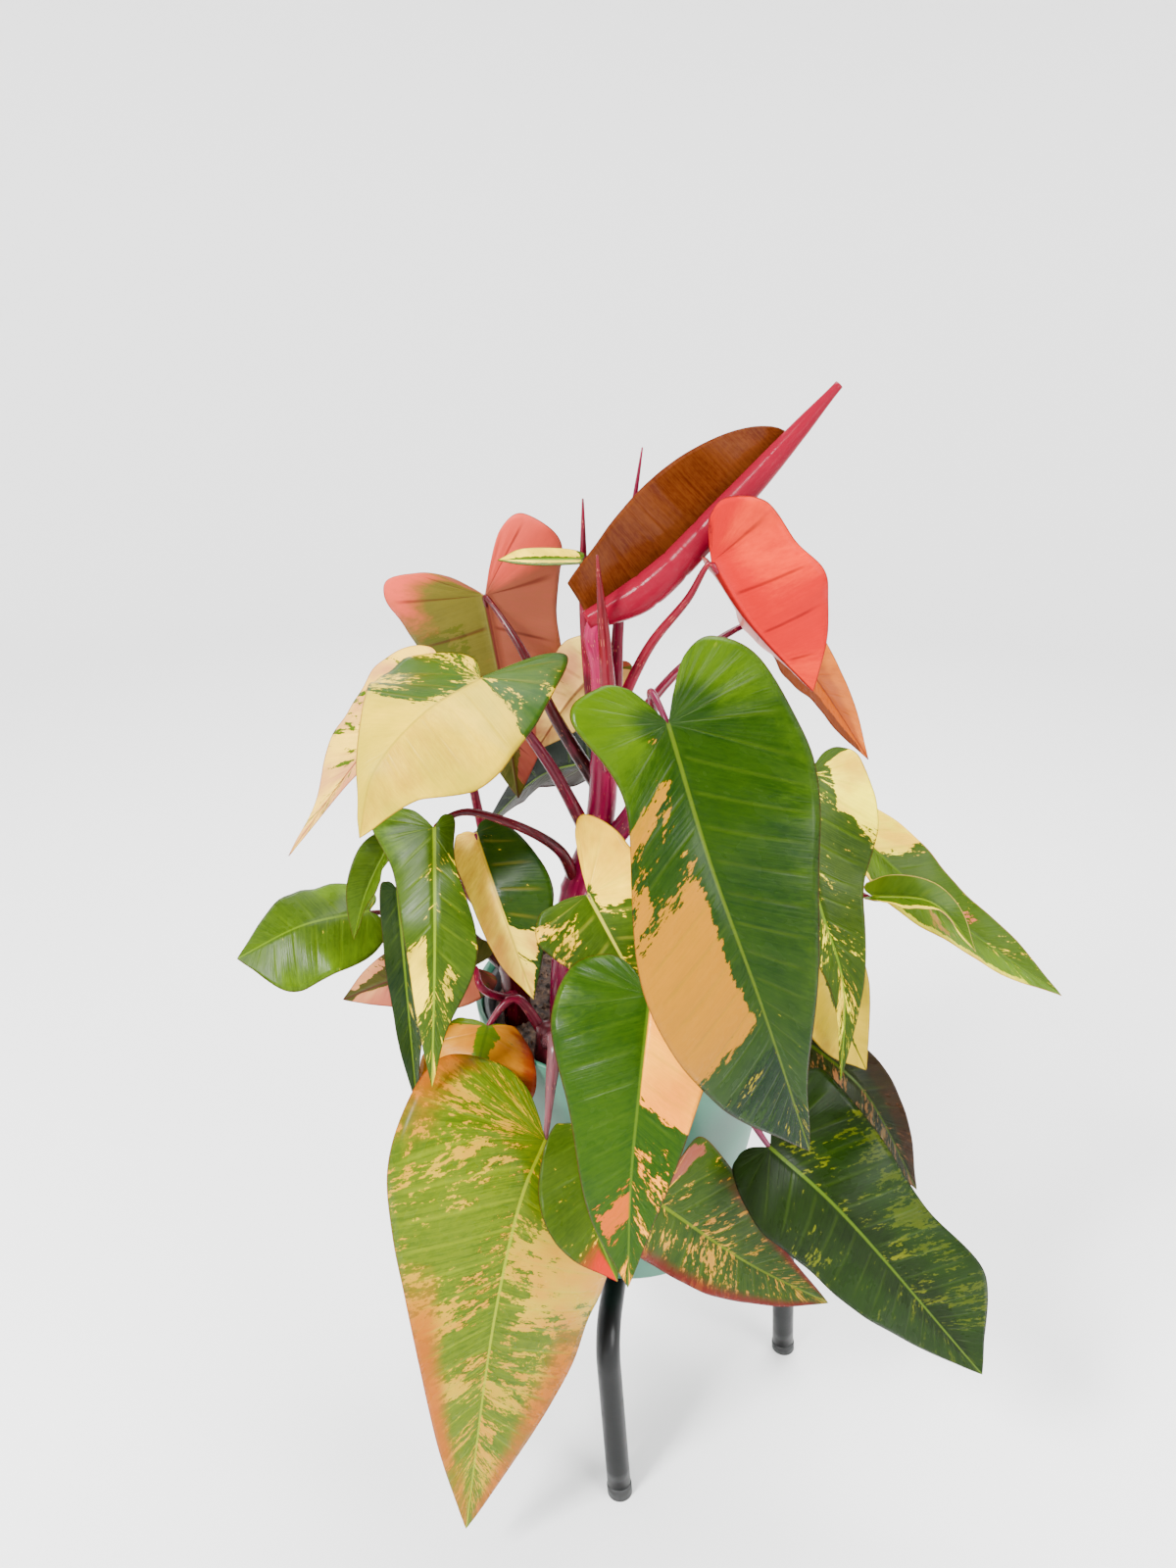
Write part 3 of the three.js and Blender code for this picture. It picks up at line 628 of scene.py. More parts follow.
class Side(Enum):
    """The halves of a blade, as seen from in front with the tip hanging down."""

    LEFT = 1
    RIGHT = -1


@dataclass(frozen=True)
class Sector:
    """A coloured part of half a blade, between two veins and two distances from the midrib.

    first and last count the veins from the lobe's inner edge (0) by the middle of the blade's side (0.5)
    to the tip (1); inner and outer go from the midrib (0) to the margin (1).
    """

    tone: Tone
    side: Side
    first: float
    last: float
    inner: float = 0.0
    outer: float = 1.0
    force: float = 1.0

    def amount(self, vein: np.ndarray, out: np.ndarray) -> np.ndarray:
        """Measures how far inside the sector places are.

        Args:
            vein: The places' veins, from 0 to 1.
            out: Their shares of the way to the margin.

        Returns:
            From 0 outside to the sector's force inside.
        """
        box = np.ones_like(vein)
        borders = ((vein, self.first, self.last, 0.09), (out, self.inner, self.outer, 0.3))
        for value, low, high, soft in borders:
            if low > 0:
                box = np.minimum(box, np.clip(0.5 + (value - low) / soft, 0, 1))
            if high < 1:
                box = np.minimum(box, np.clip(0.5 + (high - value) / soft, 0, 1))
        return box * self.force


@dataclass
class Leaf:
    """A heart-shaped blade on a bent midrib.

    left and right give, in mm, how far back the lobe reaches, its spread, and the half width at three places
    on the way to the tip. lift is the degrees by which the lobes stand off the midrib's line, fold and curl
    are degrees for the left and the right. wave is the height, count and phase of the margin's waves. face
    is where the upper side looks at the joint, and face_tip at the tip if it is another way there.
    """

    name: str
    joint: Point
    tip: Point
    face: Point
    left: Half
    right: Half
    top: LeafSkin
    under: LeafSkin
    bends: tuple[Point, ...] = ()
    face_tip: Point | None = None
    lift: float = 0
    fold: Pair = (10, 10)
    curl: Pair = (10, 10)
    wave: Point = (2, 2, 0.2)
    sectors: tuple[Sector, ...] = ()
    thickness: float = 0.8
    quilt: float = 0.4

    def bent(self, route: Route, along: np.ndarray, across: np.ndarray, side: int) -> np.ndarray:
        """Lays flat places of the blade on the bent one.

        Args:
            route: The midrib.
            along: Distances along the midrib.
            across: Distances from it.
            side: 1 on the left and -1 on the right.

        Returns:
            The points in space.
        """
        length = route.length
        u = np.clip(along / length, 0, 1)
        way = route.way(u)
        start, end = np.array(self.face, float), np.array(self.face_tip or self.face, float)
        face = start + (end - start) * u[..., None]
        face = unit(face - way * np.sum(face * way, axis=-1, keepdims=True))
        left = np.cross(way, face)
        behind, rise = np.minimum(along, 0)[..., None], math.radians(self.lift)
        at = route.at(u) + way * behind * math.cos(rise) - face * behind * math.sin(rise)
        index = 0 if side > 0 else 1
        fold = math.radians(self.fold[index])
        curl = math.radians(self.curl[index]) or 1e-4
        width = max((self.left, self.right)[index][1:])
        turn = fold + curl * across / width
        at = at + left * (side * width * (np.sin(turn) - math.sin(fold)) / curl)[..., None]
        at = at + face * (width * (math.cos(fold) - np.cos(turn)) / curl)[..., None]
        height, count, phase = self.wave
        share = across / width
        wave = height * share**1.5 * np.sin(2 * math.pi * (count * along / length + phase * side))
        # A finer ripple rides on the waves where the blade is widest.
        ripple = np.sin(2 * math.pi * (3.1 * count * along / length + 0.4 * side))
        wave = wave + 0.22 * height * share**3 * ripple
        return at + face * (wave * np.cos(turn))[..., None] - left * (side * wave * np.sin(turn))[..., None]

    def half(self, route: Route, side: Side) -> tuple[np.ndarray, Values]:
        """Lays out one half of the blade.

        Args:
            route: The midrib.
            side: Which half.

        Returns:
            The grid of points, by vein and by place on it, and the values there.
        """
        back, spread, belly, waist, narrow = self.left if side is Side.LEFT else self.right
        length = route.length
        outline = np.array([
            [-0.35 * back, 0.1 * spread], [-0.85 * back, 0.3 * spread], [-back, 0.58 * spread],
            [-0.5 * back, 0.93 * spread], [0.14 * length, belly], [0.45 * length, waist],
            [0.75 * length, narrow], [0.93 * length, 0.3 * narrow], [length, 0],
        ])
        rays = int(np.clip(length / 1.25, 36, 190))
        cells = 16 if length > 120 else 12
        vein = np.linspace(0, 1, rays + 1)
        end = spline_through(outline, vein)
        end[:, 1] = np.maximum(end[:, 1], 0)
        start = 0.93 * length * (1 - (1 - np.clip(2 * vein - 1, 0, 1)) ** 1.6)
        reach = np.hypot(end[:, 0] - start, end[:, 1])
        # The first four places on a vein are 1 mm apart, so that the midrib's relief has points enough.
        first = np.arange(4)[None]
        near = np.minimum(first * 1.0 / np.maximum(reach, 1e-6)[:, None], first / cells)
        far = near[:, 3:] + (1 - near[:, 3:]) * np.linspace(0, 1, cells - 2)[None, 1:]
        out = np.hstack([near, far])
        along = start[:, None] + (end[:, :1] - start[:, None]) * out
        across = end[:, 1:] * out
        points = self.bent(route, along, across, side.value)
        veins = np.repeat(vein[:, None], out.shape[1], axis=1)
        distance = out * reach[:, None]
        u = np.clip(along / length, 0, 1)
        beside = across / (0.6 + 1.0 * (1 - u))
        rib = np.exp(-(beside**2)) * np.clip(1 + along / 4, 0, 1)
        turn = length * np.where(veins < 0.5, 1 - 0.45 * (1 - 2 * veins), 2 * veins)
        fade = np.clip((distance - 6) / 30, 0, 1) * np.clip((1 - out) * 3.2, 0, 1)
        quilt = self.quilt * fade * (np.sin(math.pi * turn / VEIN_SPACING) ** 2 - 0.35)
        arch = np.sqrt(np.clip(1 - (across / (1.0 + 1.6 * (1 - u))) ** 2, 0, 1))
        ridge = arch * (0.25 + 1.5 * (1 - u)) * np.clip(1 + along / 3, 0, 1)
        edge = (1 - out) * reach[:, None] * np.clip(veins * 30, 0.2, 1)
        values = {
            "edge": edge, "rib": rib, "rise": quilt, "ridge": ridge, "u": turn, "v": distance * side.value,
        }
        for tone in Tone:
            amounts = [s.amount(veins, out) for s in self.sectors if s.tone is tone and s.side is side]
            values[tone.value] = np.max([np.zeros_like(veins), *amounts], axis=0)
        for tone in (Tone.PALE, Tone.WARM, Tone.DARK):
            values[tone.value] = values[tone.value] * 1.5 - 0.25
        return points, values

    def shape(self) -> Shape:
        """Builds the closed blade: both halves, both faces and the rim between them.

        Returns:
            The shape.
        """
        route = Route([self.joint, *self.bends, self.tip])
        points, faces, values = [], [], {}
        for side in Side:
            grid, found = self.half(route, side)
            rows, columns = grid.shape[:2]
            index = np.arange(rows * columns).reshape(rows, columns) + sum(len(p) for p in points)
            corners = [index[:-1, :-1], index[1:, :-1], index[1:, 1:], index[:-1, 1:]]
            quads = np.stack(corners, axis=-1).reshape(-1, 4)
            faces.append(quads[:, ::-1] if side is Side.LEFT else quads)
            points.append(grid.reshape(-1, 3))
            for key, value in found.items():
                values.setdefault(key, []).append(value.ravel())
        points = np.vstack(points)
        values = {k: np.concatenate(v) for k, v in values.items()}
        kept, _, ring = welded(points, np.vstack(faces))
        points = points[kept]
        values = {k: v[kept] for k, v in values.items()}
        return thick(points, ring, values, self.thickness)

    def build(self) -> Object:
        """Makes the leaf."""
        skins = [self.top.make(), self.under.make()]
        return self.shape().place(self.name + "_blade", self.name, "leaf", skins)


def thick(points: np.ndarray, faces: Faces, values: Values, thickness: float) -> Shape:
    """Turns a blade's middle surface into a closed shape whose faces are relieved by its veins.

    Args:
        points: The middle surface.
        faces: Its faces, the upper side seen counterclockwise.
        values: Values at the points; rise lifts both faces, ridge thickens the underside, u and v are
            the map.
        thickness: The blade's thickness in the middle, in mm.

    Returns:
        The closed shape, with finish 0 on the upper face and 1 below.
    """
    normals = point_normals(points, faces)
    half = (thickness / 2 * (0.45 + 0.55 * np.clip(values["edge"] / 6, 0, 1)))[:, None]
    rise, ridge = values.pop("rise")[:, None], values.pop("ridge")[:, None]
    upper = points + normals * (rise + half - 0.28 * ridge)
    lower = points + normals * (rise - half - ridge)
    count = len(points)
    below = [tuple(i + count for i in reversed(f)) for f in faces]
    strip = [(b, a, a + count, b + count) for a, b in rim_edges(faces)]
    span = np.stack([values.pop("u"), values.pop("v")], axis=-1)
    both = {k: np.concatenate([v, v]) for k, v in values.items()}
    finish = [0] * len(faces) + [1] * len(below) + [0] * len(strip)
    return Shape(np.vstack([upper, lower]), faces + below + strip, np.vstack([span, span]), both, finish)


@dataclass
class RolledLeaf:
    """A leaf that is opening: half of it is still rolled about its axis, the other stands off as a flap."""

    name: str
    top: LeafSkin
    under: LeafSkin
    axis: tuple[Point, ...] = ((-28, -10, 588), (6, -10, 607), (53, 0, 653), (111, 10, 717))
    radii: tuple[float, ...] = (7, 11.5, 10.5, 9.5, 8, 5.5, 2.4)
    creases: Point = (0.2, 0.31, 0.44)
    flap: float = 42
    flap_steps: int = 16
    roll_steps: int = 44
    rows: int = 90

    def build(self) -> Object:
        """Makes the rolled leaf.

        Returns:
            The new object.
        """
        route = Route(list(self.axis))
        u = np.linspace(0, 1, self.rows + 1)
        grid = np.stack(self.columns(route, u), axis=1)
        size, on_flap = grid.shape[1], self.flap_steps
        index = np.arange(grid.shape[0] * size).reshape(-1, size)
        corners = [index[:-1, :-1], index[:-1, 1:], index[1:, 1:], index[1:, :-1]]
        quads = np.stack(corners, axis=-1).reshape(-1, 4)
        j = np.arange(size)[None].repeat(self.rows + 1, 0)
        steps = np.where(j < on_flap, (on_flap - j) * self.flap / on_flap, (on_flap - j) * 1.3)
        lobe = np.clip((on_flap + 1.5 - j) / 2, 0, 1)
        flat = np.zeros_like(steps)
        # The outside has no sectors; warm tells it from the flap.
        values = {
            "edge": np.minimum(np.where(j < on_flap, j * 2.4, 9.0), (size - 1 - j) * 1.2) + 0.2,
            "rib": np.exp(-(((j - on_flap) / 1.3) ** 2)), "rise": flat, "ridge": flat,
            "u": u[:, None] * route.length + flat, "v": steps,
            "pale": flat - 2, "warm": (1 - lobe) * 3 - 2, "dark": flat - 2, "blush": flat, "splash": flat - 1,
        }
        values = {k: np.asarray(v, float).ravel() for k, v in values.items()}
        made = thick(grid.reshape(-1, 3), [tuple(q) for q in quads.tolist()], values, 0.8)
        skins = [self.top.make(), self.under.make()]
        return made.place(self.name + "_blade", self.name, "leaf", skins)

    def columns(self, route: Route, u: np.ndarray) -> list[np.ndarray]:
        """Lays out the lines of points along the leaf, over the flap and on round the roll.

        Args:
            route: The roll's axis.
            u: Shares of its length.

        Returns:
            The points of each line.
        """
        radii = np.stack([np.linspace(0, 1, len(self.radii)), self.radii], axis=-1)
        radius = spline_through(radii, u)[:, 1]
        for crease in self.creases:
            radius = radius * (1 - 0.06 * np.exp(-(((u - crease) * 130) ** 2)))
        at, way = route.at(u), route.way(u)
        front = unit(np.array([0.0, -1.0, 0.0]) + way * way[:, 1:2])
        up = np.cross(front, way)
        # The flap stands off furthest a third of the way along and ends before the tip.
        reach = 2 + self.flap * np.maximum(0, 1 - ((u - 0.36) / 0.45) ** 2) ** 0.6
        columns = []
        for j in range(self.flap_steps):
            out = 1 - j / self.flap_steps
            bow = -radius + 0.25 * reach * out * out + 0.8 * np.sin(u * 19 + 3 * out) * out
            columns.append(at + up * (reach * out)[:, None] + front * bow[:, None])
        for j in range(self.roll_steps + 1):
            turn = j / self.roll_steps
            angle = -math.pi / 2 - turn * 5 * math.pi / 3
            inward = radius * (1 - 0.2 * turn)
            above, ahead = inward * math.cos(angle), inward * math.sin(angle)
            columns.append(at + up * above[:, None] + front * ahead[:, None])
        return columns


# Stems


@dataclass(frozen=True)
class Stalk:
    """A round stalk along a route, its radius and colour going from one end to the other."""

    route: tuple[Point, ...]
    radii: tuple[float, ...]
    foot: str = "#510519"
    head: str = "#690524"
    sides: int = 18
    rings: tuple[float, ...] = ()

    def shape(self) -> Shape:
        """Builds the stalk with closed, rounded ends.

        Returns:
            The shape.
        """
        route = Route(list(self.route))
        steps = max(10, int(route.length / 3.0))
        u = np.linspace(0, 1, steps + 1)
        radius = np.interp(u, np.linspace(0, 1, len(self.radii)), self.radii)
        for ring in self.rings:
            radius = radius + 0.8 * np.exp(-(((u - ring) * route.length / 2.2) ** 2))
        stations, way = route.at(u), route.way(u)
        normal = np.array([0.31, 0.92, 0.23])
        points, span = [], []
        for k, (at, ahead) in enumerate(zip(stations, way)):
            normal = unit(normal - ahead * np.dot(normal, ahead))
            across = np.cross(ahead, normal)
            angle = np.linspace(0, 2 * math.pi, self.sides, endpoint=False)
            ring = normal * np.cos(angle)[:, None] + across * np.sin(angle)[:, None]
            points.append(at + ring * radius[k])
            run = np.full(self.sides, u[k] * route.length)
            span.append(np.stack([run, np.abs(angle - math.pi) * radius[k]], -1))
        start, end = stations[0] - way[0] * radius[0] * 0.4, stations[-1] + way[-1] * radius[-1] * 0.5
        points.append(np.stack([start, end]))
        span.append(np.array([[0.0, 0.0], [route.length, 0.0]]))
        n, last = self.sides, self.sides * steps
        faces = ring_faces(steps + 1, n)
        faces += [((k + 1) % n, k, last + n) for k in range(n)]
        faces += [(last + k, last + (k + 1) % n, last + n + 1) for k in range(n)]
        share = np.concatenate([np.repeat(u, n), [0, 1]])[:, None]
        tint = np.array(linear(self.foot)) * (1 - share) + np.array(linear(self.head)) * share
        return Shape(np.vstack(points), faces, np.vstack(span), {"tint": tint})


def leaf_stalk(
    route: tuple[Point, ...], leaf: Leaf, radii: tuple[float, ...] = (4.2, 3.4, 2.9),
    foot: str = "#510519", head: str = "#690524",
) -> Stalk:
    """Makes a leaf's stalk, which runs on into the back of its midrib.

    Args:
        route: The stalk's way from the stem to near the blade.
        leaf: The leaf that it carries.
        radii: Its radii from the stem to the blade, in mm.
        foot: Its colour at the stem.
        head: Its colour at the blade.

    Returns:
        The stalk.
    """
    joint = np.array(leaf.joint, float)
    way = unit(np.array(leaf.bends[0] if leaf.bends else leaf.tip, float) - joint)
    face = np.array(leaf.face, float)
    face = unit(face - way * np.dot(face, way))
    end = joint - face * 2.2 - way * 0.5
    into = joint - face * 1.5 + way * 7.0
    return Stalk((*route, tuple(end), tuple(into)), (*radii, 2.3, 1.3), foot, head)


@dataclass
class Stem:
    """A stem with its leaf stalks and sheaths, fused into one piece."""

    name: str
    parts: list[Stalk]

    def build(self, skin: Material) -> Object:
        """Makes the stem.

        Args:
            skin: The stalks' material.

        Returns:
            The new object.
        """
        whole = self.parts[0].shape()
        for part in self.parts[1:]:
            whole = whole.joined(part.shape())
        return whole.place(self.name + "_stalks", self.name, "stem", [skin])


# Pot and stand


def turned(profile: list[tuple[float, float]], segments: int, lift: float = 0.0, seed: int = 0) -> Shape:
    """Turns a closed profile of (radius, height) points about the pot's axis.

    Args:
        profile: The points, counterclockwise with the axis on the left.
        segments: Steps round the axis.
        lift: How far the surface is roughened, in mm.
        seed: Makes the roughness repeatable.

    Returns:
        The closed shape.
    """
    rows = np.array(profile, float)
    angle = np.linspace(0, 2 * math.pi, segments, endpoint=False)
    x = rows[:, :1] * np.cos(angle)
    y = rows[:, :1] * np.sin(angle)
    z = np.repeat(rows[:, 1:], segments, axis=1)
    if lift:
        rough = np.random.default_rng(seed)
        swell = np.sin(x / 7 + 1) * np.sin(y / 9)
        z = z + lift * (swell + rough.normal(0, 0.35, z.shape)) * (rows[:, :1] > 0)
    points = np.stack([x, y, z], axis=-1).reshape(-1, 3)
    run = np.concatenate([[0], np.cumsum(np.hypot(*np.diff(rows, axis=0).T))])
    # The map is laid out as on a cylinder of 90 mm.
    across, up = np.repeat(angle[None] * 90, len(rows), 0), np.repeat(run[:, None], segments, 1)
    span = np.stack([across, up], -1).reshape(-1, 2)
    index = np.arange(len(points)).reshape(len(rows), segments)
    ahead, above = np.roll(index, -1, axis=1), np.roll(index, -1, axis=0)
    quads = np.stack([index, ahead, np.roll(above, -1, axis=1), above], axis=-1)
    quads = quads[:-1] if rows[0, 0] == 0 else quads
    kept, _, faces = welded(points, quads.reshape(-1, 4))
    return Shape(points[kept], faces, span[kept])


def rounded(profile: list[tuple[float, float, float]], steps: int = 5) -> list[tuple[float, float]]:
    """Rounds the corners of a profile.

    Args:
        profile: (radius, height, corner radius) of each corner.
        steps: Points on each rounded corner.

    Returns:
        The (radius, height) points.
    """
    made = []
    for k, (x, z, corner) in enumerate(profile):
        here = np.array([x, z])
        if corner <= 0:
            made.append((x, z))
            continue
        before = np.array(profile[k - 1][:2])
        after = np.array(profile[(k + 1) % len(profile)][:2])
        a, b = here + unit(before - here) * corner, here + unit(after - here) * corner
        for w in np.linspace(0, 1, steps + 1):
            made.append(tuple(a * (1 - w) ** 2 + here * 2 * w * (1 - w) + b * w**2))
    return made


@dataclass
class Pot:
    """The tapered planter, the nursery pot in it and the soil."""

    rim_z: float = 330
    rim_radius: float = 104
    base_z: float = 143
    base_radius: float = 76
    wall: float = 3.5
    lip_drop: float = 5
    soil_drop: float = 14
    crumbs: int = 420

    def planter(self) -> Object:
        """Makes the planter.

        Returns:
            The new object.
        """
        foot, rim, wall, low, top = self.base_radius, self.rim_radius, self.wall, self.base_z, self.rim_z
        profile = rounded([
            (0, low + 1.2, 0), (foot - 9, low + 1.2, 0.6), (foot - 10.5, low, 0.6), (foot, low, 3.2),
            (foot + 0.62 * (rim - foot), low + 0.62 * (top - low), 0), (rim, top, 1.9),
            (rim - wall, top, 1.5), (foot - wall, low + 5, 4), (0, low + 5, 0),
        ])
        material = GlazedStoneware().make()
        return turned(profile, 128).place("planter_stoneware", "planter", "planter", [material])

    def nursery_pot(self) -> Object:
        """Makes the nursery pot with its rolled lip.

        Returns:
            The new object.
        """
        low, top = self.base_z + 5.3, self.rim_z - self.lip_drop
        foot, lip = self.base_radius - self.wall - 4, self.rim_radius - self.wall - 1.9
        profile = rounded([
            (0, low, 0), (foot, low, 2), (lip - 4, top - 8, 0.4), (lip, top - 6.5, 0.8), (lip, top, 1.2),
            (lip - 3.2, top - 0.3, 1.2), (lip - 5.2, top - 6, 2), (foot - 1.6, low + 1.6, 2),
            (0, low + 1.6, 0),
        ])
        material = MouldedPolypropylene().make()
        return turned(profile, 128).place("nursery_pot_lip", "nursery_pot", "nursery_pot", [material])

    def soil(self) -> Object:
        """Makes the soil with its crumbs, each a small squashed octahedron.

        Returns:
            The new object.
        """
        low, top = self.base_z + 7.2, self.rim_z - self.soil_drop
        foot, radius = self.base_radius - self.wall - 8.1, self.rim_radius - self.wall - 8.3
        profile = [(0, low), (foot, low), (radius - 0.6, top - 4), (radius - 4, top)]
        rings = np.linspace(radius - 7, 3, 34)
        profile += [(r, top + 1.8 * (1 - r / radius)) for r in rings] + [(0, top + 2)]
        whole = turned(profile, 120, 1.4, 7)
        rough = np.random.default_rng(11)
        corners = np.array([(1, 0, 0), (-1, 0, 0), (0, 1, 0), (0, -1, 0), (0, 0, 1), (0, 0, -1)], float)
        sides = [(0, 2, 4), (2, 1, 4), (1, 3, 4), (3, 0, 4), (2, 0, 5), (1, 2, 5), (3, 1, 5), (0, 3, 5)]
        for _ in range(self.crumbs):
            away, angle = (radius - 8) * math.sqrt(rough.random()), rough.random() * 2 * math.pi
            size = rough.uniform(0.9, 3.2)
            crumb = corners * rough.uniform(0.5, 1.0, (6, 1)) * size * rough.uniform(0.6, 1.4, (1, 3))
            spot = np.array([away * math.cos(angle), away * math.sin(angle), top + 1.2 + 0.25 * size])
            whole = whole.joined(Shape(crumb + spot, sides, np.zeros((6, 2))))
        return whole.place("soil_crumbs", "soil", "soil", [PottingMix().make()])


@dataclass
class Stand:
    """Two steel tubes that cross under the planter, each bent down into two legs with capped ends."""

    tube: float = 8.0
    wall: float = 1.5
    top_z: float = 142.7
    bend: Pair = (-16, -115)
    foot: Pair = (-6, -125)
    bend_radius: float = 24
    cap: float = 9

    def leg(self, quarter: int, from_height: float) -> np.ndarray:
        """Lays out one leg.

        Args:
            quarter: The quarter turns from the front leg.
            from_height: Where the leg starts, in mm above the floor.

        Returns:
            Its stations, from its end up and round the bend.
        """
        turn = quarter * math.pi / 2
        cosine, sine = math.cos(turn), math.sin(turn)
        spin = np.array([[cosine, -sine, 0], [sine, cosine, 0], [0, 0, 1]])
        middle = np.array([0, 0, self.top_z - self.tube])
        foot, corner = spin @ np.array([*self.foot, 0]), spin @ np.array([*self.bend, middle[2]])
        down, inward = unit(foot - corner), unit(middle - corner)
        half = math.acos(float(np.dot(down, inward))) / 2
        centre = corner + unit(down + inward) * self.bend_radius / math.sin(half)
        start = corner + down * self.bend_radius / math.tan(half) - centre
        low = corner + down * (corner[2] / -down[2] - from_height)
        high = centre + start
        angles = np.linspace(0, math.pi - 2 * half, 13)
        arc = [centre + start * math.cos(a) + (-down) * self.bend_radius * math.sin(a) for a in angles]
        return np.vstack([low + (high - low) * w for w in np.linspace(0, 0.96, 8)] + [np.array(arc)])

    def tubes(self) -> Object:
        """Makes the crossed tubes.

        Returns:
            The new object.
        """
        whole = None
        for quarter in (0, 1):
            way = np.vstack([self.leg(quarter, self.cap), self.leg(quarter + 2, self.cap)[::-1]])
            made = tube_along(way, self.tube, 36)
            whole = made if whole is None else whole.joined(made)
        return whole.place("stand_tubes", "stand", "stand", [LacqueredSteel().make()])

    def foot_cap(self, place: str, quarter: int, material: Material) -> Object:
        """Makes the cap on one leg: it holds the tube's end and is flat on the floor.

        Args:
            place: Where the leg is, for the cap's name.
            quarter: The quarter turns from the front leg.
            material: The rubber.

        Returns:
            The new object.
        """
        stations = self.leg(quarter, 0)
        way = unit(stations[1] - stations[0])
        side = unit(np.cross(way, np.array([0.0, 1.0, 0.0])))
        front = np.cross(way, side)
        tube = self.tube
        rows = [
            (0, -3), (tube - 1.5, -3), (tube + 0.6, -1), (tube + 0.6, 6.5), (tube + 0.1, 8.6),
            (tube - 1.9, 8.6), (tube - 1.9, 14), (0, 14),
        ]
        made = turned(rows, 40)
        turned_to = made.points[:, :1] * side + made.points[:, 1:2] * -front + made.points[:, 2:] * way
        made.points = turned_to + stations[0]
        made.points[:, 2] = np.maximum(made.points[:, 2], 0)
        name = "foot_cap_" + place
        return made.place(name + "_rubber", name, "foot_cap", [material])


def tube_along(stations: np.ndarray, radius: float, sides: int) -> Shape:
    """Builds a round tube with flat ends.

    Args:
        stations: The points of its centre line.
        radius: Its radius, in mm.
        sides: The steps round it.

    Returns:
        The shape.
    """
    points, span = [], []
    normal = np.array([0.31, 0.92, 0.23])
    run = np.concatenate([[0], np.cumsum(np.linalg.norm(np.diff(stations, axis=0), axis=1))])
    angle = np.linspace(0, 2 * math.pi, sides, endpoint=False)
    for k, at in enumerate(stations):
        way = unit(stations[min(k + 1, len(stations) - 1)] - stations[max(k - 1, 0)])
        normal = unit(normal - way * np.dot(normal, way))
        across = np.cross(way, normal)
        points.append(at + radius * (normal * np.cos(angle)[:, None] + across * np.sin(angle)[:, None]))
        span.append(np.stack([np.full(sides, run[k]), np.abs(angle - math.pi) * radius], -1))
    faces = ring_faces(len(stations), sides)
    faces += [tuple(range(sides))[::-1], tuple(range((len(stations) - 1) * sides, len(stations) * sides))]
    return Shape(np.vstack(points), faces, np.vstack(span))


# The plant's leaves and stems


PALE, WARM, DARK, BLUSH, SPLASH = Tone
LEFT, RIGHT = Side.LEFT, Side.RIGHT
UNDER = LeafSkin(
    "leaf_underside", green="#313c05", light="#3f410e", blush="#54301c", pale="#96684a", cream="#aa875c",
    warm="#7c3824", vein="#450509", margin="#380505", roughness=0.48, ribs=0.4, spacing=20,
)


